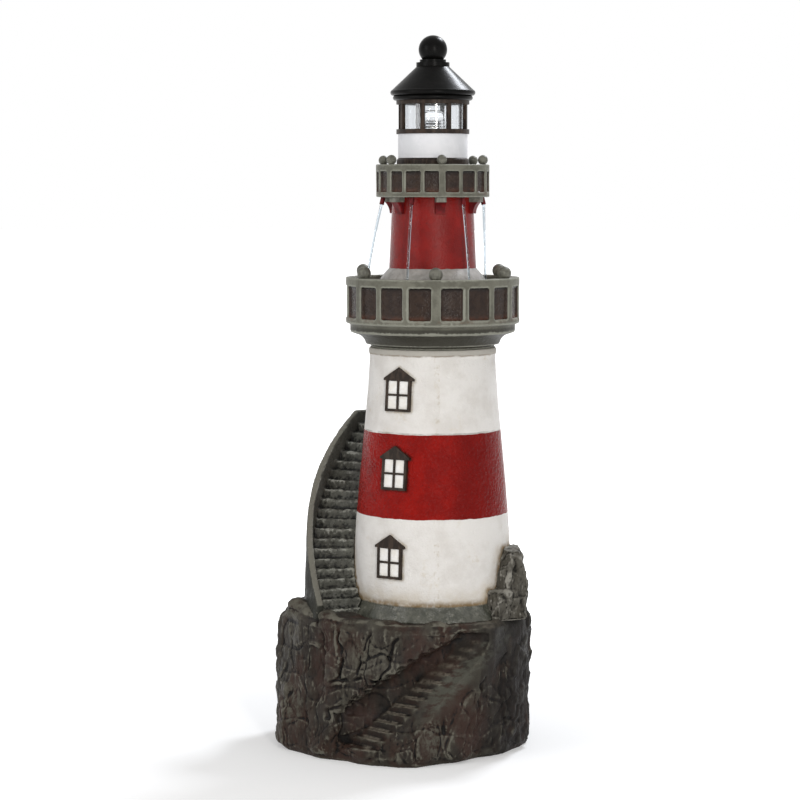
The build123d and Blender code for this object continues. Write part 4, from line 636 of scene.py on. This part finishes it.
def tower_finish():
    """Brushed plaster paint on cast resin."""
    # The eye gets a chalky white with fine brush marks, a dabbed red band with a wavering edge, painted shade
    # over the band's right half and a thin painted shadow line above it, brown antiquing that has gathered at
    # the foot and round whatever stands on the wall, and a wet grey ledge.
    material, tree, place = start_finish("brushed_plaster_paint")
    across = add(tree, "SeparateXYZ", {0: place}, "X")
    front = add(tree, "SeparateXYZ", {0: place}, "Y")
    up = add(tree, "SeparateXYZ", {0: place}, "Z")
    height = waver(tree, place, 16, 3.0, up)
    stone_near = add(tree, "Attribute", {}, "Fac", attribute_name="stone_near_mm")
    frame_near = add(tree, "Attribute", {}, "Fac", attribute_name="frame_near_mm")
    band = mask(tree, line(height, RED_LOW, -0.3, 0.3), line(height, RED_HIGH, 0.3, -0.3))
    white = lay(tree, "#dedbd7", "#d3cfca", patches(tree, place, 42, 0.4, 0.65))
    white = lay(tree, white, "#b9ab93", line(height, PLINTH_TOP, 34, 1),
                patches(tree, place, 20, 0.25, 0.7), 0.7)
    white = lay(tree, white, "#7d6746", line(height, PLINTH_TOP, 11.5, 1), patches(tree, place, 8, 0.15, 0.6))
    white = lay(tree, white, "#b7a88f", (stone_near, 24.0, 2.0), patches(tree, place, 26, 0.3, 0.65), 0.6)
    white = lay(tree, white, "#806b4c", (stone_near, 9.0, 0.5), patches(tree, place, 9, 0.15, 0.6))
    white = lay(tree, white, "#a29173", (frame_near, 4.5, 0.3), patches(tree, place, 11, 0.3, 0.65), 0.7)
    white = lay(tree, white, "#c3b7a2", patches(tree, place, 30, 0.56, 0.72),
                patches(tree, place, 6, 0.4, 0.65), 0.5)
    seam = {0: across, 1: SEAM_X / 1000, 2: SEAM_HALF_WIDTH / 1000}
    beside = add(tree, "Math", seam, operation="COMPARE")
    white = lay(tree, white, "#b3a793", beside, line(front, 0, 0, -20),
                patches(tree, place, 7, 0.5, 0.7), 0.5)
    white = lay(tree, white, "#a5a198", line(height, COLLAR_LOW, -1, 1), 0.85)
    white = lay(tree, white, "#84796a", line(height, COLLAR_LOW, -2, 0), line(height, COLLAR_LOW, 2, 0),
                patches(tree, place, 14, 0.25, 0.55), 0.8)
    red = lay(tree, "#8c140e", "#7b110d", patches(tree, place, 30, 0.36, 0.66))
    red = lay(tree, red, "#4c120f", patches(tree, place, 3.5, 0.64, 0.72))
    # Painted shade over the right half of the red band
    red = lay(tree, red, "#640d0a", line(across, 0, 15, 45), 0.6)
    red = lay(tree, red, "#3a1611", (frame_near, 4.0, 0.3), patches(tree, place, 9, 0.25, 0.6), 0.8)
    red = lay(tree, red, "#3a1611", (stone_near, 16.0, 0.5), patches(tree, place, 18, 0.2, 0.6))
    colour = lay(tree, white, red, band)
    # Painted shadow: a thin grey line just above the red band
    colour = lay(tree, colour, "#8f8b84", line(height, RED_HIGH, 0, 0.6), line(height, RED_HIGH, 2.8, 1.4),
                 patches(tree, place, 24, 0.35, 0.6), 0.7)
    ledge = mask(tree, line(height, PLINTH_TOP, 2, -1))
    stone = lay(tree, "#56564d", "#41423a", patches(tree, place, 16, 0.36, 0.6))
    stone = lay(tree, stone, "#6f6e64", patches(tree, place, 9, 0.54, 0.72))
    colour = lay(tree, colour, stone, ledge)
    dull = add(tree, "Mix", {0: band, 2: 0.56, 3: 0.25})
    dull = add(tree, "Mix", {0: ledge, 2: dull, 3: 0.22})
    normal = grain(tree, place, (16.0, 0.6), (3.0, 0.85), (1.9, 0.3))
    dabs = add(tree, "TexNoise", {"Vector": place, "Scale": 1000 / RED_DAB, "Detail": 1.0})
    dabbed = {"Height": dabs, "Distance": RED_DAB_DEPTH / 1000, "Strength": band, "Normal": normal}
    end_finish(tree, {
        "Base Color": colour, "Roughness": dull, "Normal": add(tree, "Bump", dabbed),
        "Specular IOR Level": add(tree, "Mix", {0: ledge, 2: 0.06, 3: 0.35}),
    })
    return material


def gallery_finish(name, low, high, edge, back, size):
    """Grey-green stone paint on a cast gallery, with sunk brown panels."""
    # The eye gets dry grey-green rails with paler worn edges, painted shade on the moulding below them, and
    # panels with the soft shine of leather, a painted shadow under their top edge and a brown wash at their
    # sills.
    material, tree, place = start_finish(name)
    across = add(tree, "SeparateXYZ", {0: place}, "X")
    front = add(tree, "SeparateXYZ", {0: place}, "Y")
    up = add(tree, "SeparateXYZ", {0: place}, "Z")
    out = add(tree, "VectorMath", {0: add(tree, "CombineXYZ", {0: across, 1: front})}, 1, operation="LENGTH")
    reach = waver(tree, place, 7, 1.6, out)
    stands = add(tree, "Attribute", {}, "Fac", attribute_name="edge_mm")
    hollow = add(tree, "Attribute", {}, "Fac", attribute_name="hollow_mm")
    colour = lay(tree, "#6d6c61", "#5b5a50", patches(tree, place, 26, 0.4, 0.62))
    # Painted shade on the moulding under the gallery
    colour = lay(tree, colour, "#302e27", line(up, low, -9, -15), 0.9)
    colour = lay(tree, colour, "#86867b", (stands, 0.06, 0.3))
    colour = lay(tree, colour, "#35312a", (hollow, -0.5, -2.4))
    colour = lay(tree, colour, "#5a4436", line(up, low, 5, -3), line(up, low, -6, -2),
                 patches(tree, place, 20, 0.46, 0.62), 0.5)
    panel = mask(tree, line(reach, edge, 0.4, -0.4), line(reach, back, -1.3, -0.8), line(up, low, -1, 0),
                 line(up, high, 1, 0))
    brown = lay(tree, "#261a14", "#32251d", patches(tree, place, 12, 0.36, 0.64))
    # Painted shadow along the top of each sunk panel
    brown = lay(tree, brown, "#140e0b", line(up, high, -7, 0))
    brown = lay(tree, brown, "#4c2f22", line(up, low, 9, 1), patches(tree, place, 9, 0.3, 0.6), 0.8)
    end_finish(tree, {
        "Base Color": lay(tree, colour, brown, panel),
        "Roughness": add(tree, "Mix", {0: panel, 2: 0.48, 3: 0.2}),
        "Specular IOR Level": 0.15, "Normal": grain(tree, place, (size, 0.9), (2.0, 0.5)),
    })
    return material


def crown_red_finish():
    """Semi-gloss red paint on a pebbled resin skin, over a silvery flare."""
    # The eye gets a deep red full of small soft highlights, and below it a grey that the streams keep wet.
    material, tree, place = start_finish("pebbled_red_paint")
    height = waver(tree, place, 9, 2.0, add(tree, "SeparateXYZ", {0: place}, "Z"))
    red = lay(tree, "#861611", "#74120e", patches(tree, place, 30, 0.36, 0.66))
    red = lay(tree, red, "#541311", patches(tree, place, 3.0, 0.62, 0.74))
    grey = lay(tree, "#a39f9a", "#8d8a85", patches(tree, place, 12, 0.36, 0.66))
    upper = mask(tree, line(height, UPPER_RED_LOW, -0.3, 0.3))
    end_finish(tree, {
        "Base Color": lay(tree, grey, red, upper), "Roughness": add(tree, "Mix", {0: upper, 2: 0.2, 3: 0.24}),
        "Specular IOR Level": 0.15, "Normal": grain(tree, place, (9.0, 0.3), (2.2, 0.8)),
    })
    return material


def bracket_finish():
    """Red corbels under a grey cap, painted by hand."""
    # The eye gets a dull dark red that stops at a straight line under the stone grey of the gallery.
    material, tree, place = start_finish("two_tone_bracket_paint")
    up = add(tree, "SeparateXYZ", {0: place}, "Z")
    red = lay(tree, "#701214", "#520c0e", patches(tree, place, 9, 0.36, 0.62))
    grey = lay(tree, "#84837a", "#6a695f", patches(tree, place, 6, 0.36, 0.62))
    colour = lay(tree, red, grey, line(up, BRACKET_CAP_LOW, -0.4, 0.4))
    end_finish(tree, {
        "Base Color": colour, "Roughness": 0.45, "Specular IOR Level": 0.14,
        "Normal": grain(tree, place, (3.0, 0.3)),
    })
    return material


def plain_finish(name, main, second, size, roughness, specular, *layers, metallic=0.0):
    """Painted resin, moulded plastic or metal: a colour that drifts a little to a second, on a fine skin."""
    material, tree, place = start_finish(name)
    end_finish(tree, {
        "Base Color": lay(tree, main, second, patches(tree, place, size, 0.4, 0.62)), "Metallic": metallic,
        "Roughness": roughness, "Specular IOR Level": specular, "Normal": grain(tree, place, *layers),
    })
    return material


def bronze_finish():
    """Dark bronze-brown paint with strokes of rubbed-on lighter brown."""
    # The eye gets nearly black brown with streaks along the bars where the lighter paint was wiped on.
    material, tree, place = start_finish("rubbed_bronze_brown_paint")
    stroke = add(tree, "Mapping", {"Vector": place, "Scale": (1.0, 1.0, 0.3)})
    colour = lay(tree, "#221a14", "#382d25", patches(tree, stroke, 5, 0.44, 0.6))
    colour = lay(tree, colour, "#5a4d42", patches(tree, place, 2.5, 0.64, 0.76))
    end_finish(tree, {
        "Base Color": colour, "Roughness": 0.45, "Specular IOR Level": 0.15,
        "Normal": grain(tree, place, (4.0, 0.25), (1.5, 0.1)),
    })
    return material


def clear_finish(name, tint, ior, roughness):
    """Clear moulded acrylic or water, faintly tinted, with slow waves in its surface."""
    material, tree, place = start_finish(name)
    end_finish(tree, {
        "Base Color": linear(tint), "Roughness": roughness, "IOR": ior, "Transmission Weight": 1.0,
        "Normal": grain(tree, place, (9.0, 0.05)),
    })
    return material


def lamp_finish():
    """White solder mask on a circuit board, with a lit chip in the middle."""
    # The eye gets a bright spot behind the lens and a plain white board round it.
    material, tree, place = start_finish("white_solder_mask")
    flat = add(tree, "Mapping", {"Vector": place, "Scale": (1.0, 1.0, 0.0)})
    out = add(tree, "VectorMath", {0: flat}, 1, operation="LENGTH")
    chip = {0: out, 1: (CHIP_RADIUS + 0.3) / 1000, 2: CHIP_RADIUS / 1000, 4: CHIP_GLOW}
    end_finish(tree, {
        "Base Color": lay(tree, "#e8e8e2", "#dcdcd4", patches(tree, place, 4, 0.45, 0.55)), "Roughness": 0.3,
        "Emission Color": linear("#fffaf0"), "Emission Strength": add(tree, "MapRange", chip),
        "Normal": grain(tree, place, (2.0, 0.05)),
    })
    return material


rock_paint = rock_finish()
stair_paint = stair_finish()
boulder_paint = boulder_finish()
plaster = tower_finish()
lower_stone = gallery_finish("lower_gallery_stone_paint", LOWER_PANEL_LOW, LOWER_PANEL_HIGH, LOWER_PANEL_EDGE,
                             LOWER_PANEL_BACK, 3.6)
upper_stone = gallery_finish("upper_gallery_stone_paint", UPPER_PANEL_LOW, UPPER_PANEL_HIGH, UPPER_PANEL_EDGE,
                             UPPER_PANEL_BACK, 3.0)
crown_red = crown_red_finish()
bracket_paint = bracket_finish()
bronze = bronze_finish()
lamp_white = lamp_finish()

# Stone paint on cast balls: dull grey-green with a worn, slightly pitted skin
ball_stone = plain_finish("ball_stone_paint", "#6b6a60", "#53524a", 7, 0.45, 0.25, (4.0, 0.35), (1.5, 0.12))
# Brushed red paint on small tubes: dark, with a soft sheen
spout_red = plain_finish("spout_red_paint", "#641216", "#480c0f", 6, 0.4, 0.15, (2.5, 0.15))
# Smooth sprayed paint: a cool, even white
drum_white = plain_finish("smooth_white_paint", "#e6e6e9", "#dddee1", 30, 0.45, 0.2, (14.0, 0.2), (2.5, 0.1))
# Brushed white in the window lights: a little warmer and duller than the drum
pane_white = plain_finish("window_white_paint", "#efedea", "#e6e2db", 12, 0.5, 0.2, (3.0, 0.2))
# Satin lacquer over cast resin: deep black with one broad highlight that the uneven casting breaks up
roof_black = plain_finish("satin_black_lacquer", "#090908", "#100f0e", 20, 0.3, 0.06,
                          (18.0, 0.35), (3.0, 0.12))
# Extruded acrylic: clear, with bright edges
glazing_clear = clear_finish("clear_acrylic_tube", "#eff1f3", 1.49, 0.02)
# Polished moulded acrylic: clear, and it gathers the light of the chip
lens_clear = clear_finish("clear_acrylic_lens", "#ffffff", 1.49, 0.01)
# Still water: clear, with the white surroundings mirrored in it
pool_water = clear_finish("pool_water", "#f4fafd", 1.333, 0.01)
# Water with fine air bubbles: a grey-blue thread with bright sides
stream_water = clear_finish("aerated_water", "#c2ccd3", 1.333, 0.08)
# Moulded plastics: even colour and a soft sheen, with a faint spark-eroded grain
base_white = plain_finish("white_moulded_plastic", "#e4e4e0", "#dadad6", 20, 0.4, 0.5, (1.2, 0.04))
pump_black = plain_finish("black_moulded_plastic", "#1c1d1f", "#232426", 16, 0.42, 0.5, (1.2, 0.06))
impeller_grey = plain_finish("grey_moulded_plastic", "#8a8c90", "#7f8186", 10, 0.4, 0.5, (1.2, 0.04))
# Extruded rigid pipe: smooth grey with long soft reflections
pipe_grey = plain_finish("grey_rigid_pipe", "#6c6f72", "#63666a", 30, 0.35, 0.5, (8.0, 0.05))
# Moulded rubber: nearly black and dull
seal_rubber = plain_finish("moulded_black_rubber", "#1d1c1b", "#262524", 8, 0.7, 0.35, (0.9, 0.06))
# Ground alumina: a creamy white with a fine gloss
shaft_ceramic = plain_finish("ground_ceramic", "#ded8cc", "#d4cdbf", 3, 0.25, 0.5, (0.8, 0.01))
# Zinc plating: a pale, slightly blotchy metal
bolt_zinc = plain_finish("zinc_plated_steel", "#b9bcc0", "#a7abb0", 4, 0.34, 0.5, (0.8, 0.03), metallic=1.0)

COATS = {
    "window_frame_upper": bronze, "window_frame_middle": bronze, "window_frame_lower": bronze,
    "window_panes": pane_white, "door_frame": bronze, "door_leaf": bronze,
    "lower_balls": ball_stone, "upper_balls": ball_stone,
    "upper_tower": crown_red, "gallery_brackets": bracket_paint, "water_spouts": spout_red,
    "drum_foot_ring": bronze, "lantern_frame": bronze, "lantern_drum": drum_white,
    "lantern_glazing": glazing_clear, "lamp_lens": lens_clear,
    "lamp_base": base_white, "led_board": lamp_white,
    "roof_cone": roof_black, "finial_ball": roof_black, "finial_screw": bolt_zinc, "tower_bolts": bolt_zinc,
    "pump_housing": pump_black, "pump_cover": pump_black, "pump_strainer": pump_black,
    "outlet_nipple": pump_black, "flow_dial": pump_black,
    "impeller": impeller_grey, "rotor_shaft": shaft_ceramic,
    "riser_pipe": pipe_grey, "riser_upper": pipe_grey, "feed_manifold": pipe_grey,
    "suction_cups": seal_rubber, "panel_gasket": seal_rubber, "cord_gland": seal_rubber,
}
for name, coat in COATS.items():
    for holder in nodes[name].material_slots:
        holder.material = coat


# Castings with a worked skin

def casting(node, body, coat, relief, voxel, limit, broad, worn=None):
    """Casting with its roughened skin, ready for paint that reads its edges and hollows."""
    piece = cast_skin(node, body, voxel)
    if worn:
        wear(piece, worn, BROW_TURNS)
    roughen(piece, relief)
    weather(piece, broad)
    thin(piece, limit)
    piece.data.materials.append(coat)
    return piece


rock = casting("rock_base", "base", rock_paint, rock_relief, 1.9, 190000, 30, worn=stair_brow)
rock_points = [Vector(p) * 1000 for p in read(rock.data.vertices, "co", 3)]
store(rock, "flank", np.array([flank_share(p) for p in rock_points]))
store(rock, "treads", np.array([tread_share(p) for p in rock_points]))
store(rock, "grey", np.array([grey_share(p) for p in rock_points]))
tower = casting("tower_shell", "base", plaster, tower_relief, 2.6, 180000, 10)
nearness(tower, "stone_near_mm", ("boulder", "side_stair"))
nearness(tower, "frame_near_mm",
         ("window_frame_upper", "window_frame_middle", "window_frame_lower", "door_frame"))
casting("access_panel", "access_panel", rock_paint, panel_relief, 2.0, 60000, 26)
casting("side_stair", "base", stair_paint, stair_relief, 1.9, 150000, 14)
casting("boulder", "base", boulder_paint, boulder_relief, 1.8, 60000, 20)
casting("lower_gallery", "crown", lower_stone, gallery_relief, 1.8, 150000, 10)
casting("upper_gallery", "crown", upper_stone, gallery_relief, 1.3, 130000, 10)


# Water

def water_piece(name, work, coat):
    """Finished body of water, which moves with the crown."""
    mesh = bpy.data.meshes.new(name)
    work.to_mesh(mesh)
    work.free()
    mesh.shade_smooth()
    mesh.materials.append(coat)
    return add_piece(name, mesh, "crown")


def stream(index):
    """Falling stream from one spout: a thread that thins and twists on its way to the basin."""
    turn = math.radians(STREAM_ANGLES[index])
    heading = Vector((math.sin(turn), -math.cos(turn), 0))
    tilt = math.radians(STREAM_TILT)
    work = bmesh.new()
    bmesh.ops.create_circle(work, cap_ends=True, segments=STREAM_SIDES, radius=STREAM_THICK / 1000)
    spot = (heading * STREAM_MOUTH_RADIUS + Vector((0, 0, STREAM_MOUTH_Z + STREAM_INSIDE))) / 1000
    bmesh.ops.translate(work, verts=work.verts, vec=spot)
    rim = list(work.edges)
    width = STREAM_THICK
    drop = STREAM_MOUTH_Z - BASIN_LEVEL + STREAM_SINK
    fall = STREAM_SPEED * math.cos(tilt)
    for step in range(1, STREAM_STEPS + 1):
        down = drop * step / STREAM_STEPS
        time = (math.sqrt(fall * fall + 2 * GRAVITY * down) - fall) / GRAVITY
        reach = STREAM_MOUTH_RADIUS + STREAM_PUSH[index] * STREAM_SPEED * math.sin(tilt) * time
        after = (heading * reach + Vector((0, 0, STREAM_MOUTH_Z - down))) / 1000
        wobble = noise.noise(Vector((index * 5.0, 0.0, down / 7))) * STREAM_WOBBLE
        wanted = mix(STREAM_THICK, STREAM_THIN, step / STREAM_STEPS) * (1 + wobble)
        fresh = bmesh.ops.extrude_edge_only(work, edges=rim)["geom"]
        ring = [item for item in fresh if isinstance(item, bmesh.types.BMVert)]
        rim = [item for item in fresh if isinstance(item, bmesh.types.BMEdge)]
        bmesh.ops.translate(work, verts=ring, vec=after - spot)
        thinner = wanted / width
        bmesh.ops.scale(work, verts=ring, vec=(thinner, thinner, 1), space=Matrix.Translation(-after))
        bmesh.ops.rotate(work, verts=ring, cent=after, matrix=Matrix.Rotation(STREAM_TWIST, 3, "Z"))
        spot = after
        width = wanted
    bmesh.ops.holes_fill(work, edges=rim, sides=0)
    bmesh.ops.recalc_face_normals(work, faces=work.faces)
    return water_piece(f"water_stream_{index + 1}", work, stream_water)


def pool(name, inner, outer, floor, level, ripples):
    """Ring of water in a gallery, with rings that spread from where the streams land."""
    work = bmesh.new()
    corners = [work.verts.new((r / 1000, 0, z / 1000))
               for r, z in ((inner, floor), (inner, level), (outer, level), (outer, floor))]
    lines = [work.edges.new((corners[i], corners[(i + 1) % 4])) for i in range(4)]
    bmesh.ops.subdivide_edges(work, edges=[lines[1]], cuts=POOL_RINGS)
    bmesh.ops.spin(work, geom=work.verts[:] + work.edges[:], cent=(0, 0, 0), axis=(0, 0, 1),
                   angle=2 * math.pi, steps=POOL_STEPS, use_merge=True)
    bmesh.ops.remove_doubles(work, verts=work.verts, dist=1e-6)
    bmesh.ops.recalc_face_normals(work, faces=work.faces)
    for vert in work.verts:
        if vert.co.z > level / 1000 - 1e-5:
            lift = 0.3 * noise.noise(vert.co * 1000 / 9)
            for centre in ripples:
                far = (vert.co.xy - centre.xy).length * 1000
                lift += RIPPLE_HEIGHT * math.cos(far * RIPPLE_TURN) * math.exp(-far / RIPPLE_REACH)
            vert.co.z += lift / 1000
    water_piece(name, work, pool_water)


landings = []
for index in range(len(STREAM_ANGLES)):
    lowest = min(stream(index).data.vertices, key=lambda vert: vert.co.z)
    landings.append(lowest.co.copy())
pool("basin_water", BASIN_INNER, BASIN_OUTER, BASIN_FLOOR, BASIN_LEVEL, landings)
pool("trough_water", TROUGH_INNER, TROUGH_OUTER, TROUGH_FLOOR, TROUGH_LEVEL, [])


# Stage

def seen_rays(tree):
    """Mask of the rays that show the surroundings: straight, in gloss or through glass."""
    kinds = ("Is Camera Ray", "Is Glossy Ray", "Is Transmission Ray")
    straight, gloss, glass = [add(tree, "LightPath", {}, kind) for kind in kinds]
    either = add(tree, "Math", {0: straight, 1: gloss}, operation="MAXIMUM")
    return add(tree, "Math", {0: either, 1: glass}, operation="MAXIMUM")


def stage_finish():
    """White floor: it takes the shadow near the piece and is plain white beyond it."""
    material, tree, place = start_finish("white_studio_floor")
    out = add(tree, "VectorMath", {0: place}, 1, operation="LENGTH")
    fade = {0: out, 1: FLOOR_SHADE_NEAR, 2: FLOOR_SHADE_FAR, 3: FLOOR_GLOW, 4: 1.0}
    lift = add(tree, "MapRange", fade, interpolation_type="SMOOTHSTEP")
    glow = add(tree, "Emission", {"Strength": mask(tree, seen_rays(tree), lift)})
    lit = add(tree, "BsdfDiffuse", {"Color": linear("#e6e6e6")})
    add(tree, "OutputMaterial", {"Surface": add(tree, "AddShader", {0: lit, 1: glow})})
    return material


def studio_floor():
    """Large floor under the piece."""
    work = bmesh.new()
    bmesh.ops.create_grid(work, x_segments=1, y_segments=1, size=FLOOR_SIZE)
    mesh = bpy.data.meshes.new("studio_floor")
    work.to_mesh(mesh)
    work.free()
    mesh.materials.append(stage_finish())
    ground = bpy.data.objects.new("studio_floor", mesh)
    bpy.context.scene.collection.objects.link(ground)


def softbox(name, place, aim, width, height, power, tint):
    """Flat studio lamp aimed at a point."""
    lamp = bpy.data.lights.new(name, "AREA")
    lamp.shape = "RECTANGLE"
    lamp.size = width
    lamp.size_y = height
    lamp.energy = power
    lamp.color = linear(tint)[:3]
    holder = bpy.data.objects.new(name, lamp)
    holder.location = place
    holder.rotation_euler = (Vector(aim) - Vector(place)).to_track_quat("-Z", "Y").to_euler()
    bpy.context.scene.collection.objects.link(holder)


def backdrop():
    """White surroundings for what is seen, in gloss and through glass too, and a softer light all round."""
    world = bpy.data.worlds.new("white_studio")
    world.use_nodes = True
    tree = world.node_tree
    tree.nodes.clear()
    strength = add(tree, "MapRange", {0: seen_rays(tree), 3: AMBIENT, 4: 1.0})
    light = add(tree, "Background", {"Strength": strength, "Color": (1, 1, 1, 1)})
    add(tree, "OutputWorld", {"Surface": light})
    bpy.context.scene.world = world


def photo_camera():
    """Camera where the photograph was taken from."""
    lens = bpy.data.cameras.new("photo_camera")
    lens.lens = CAMERA_LENS_MM
    lens.sensor_width = CAMERA_SENSOR_MM
    holder = bpy.data.objects.new("photo_camera", lens)
    holder.location = CAMERA_PLACE
    holder.rotation_euler = (math.radians(90 - CAMERA_DIP), 0, math.radians(CAMERA_TURN))
    bpy.context.scene.collection.objects.link(holder)
    bpy.context.scene.camera = holder


studio_floor()
backdrop()
for lamp_row in SOFTBOXES:
    softbox(*lamp_row)
photo_camera()
bpy.context.scene.view_settings.view_transform = "Standard"
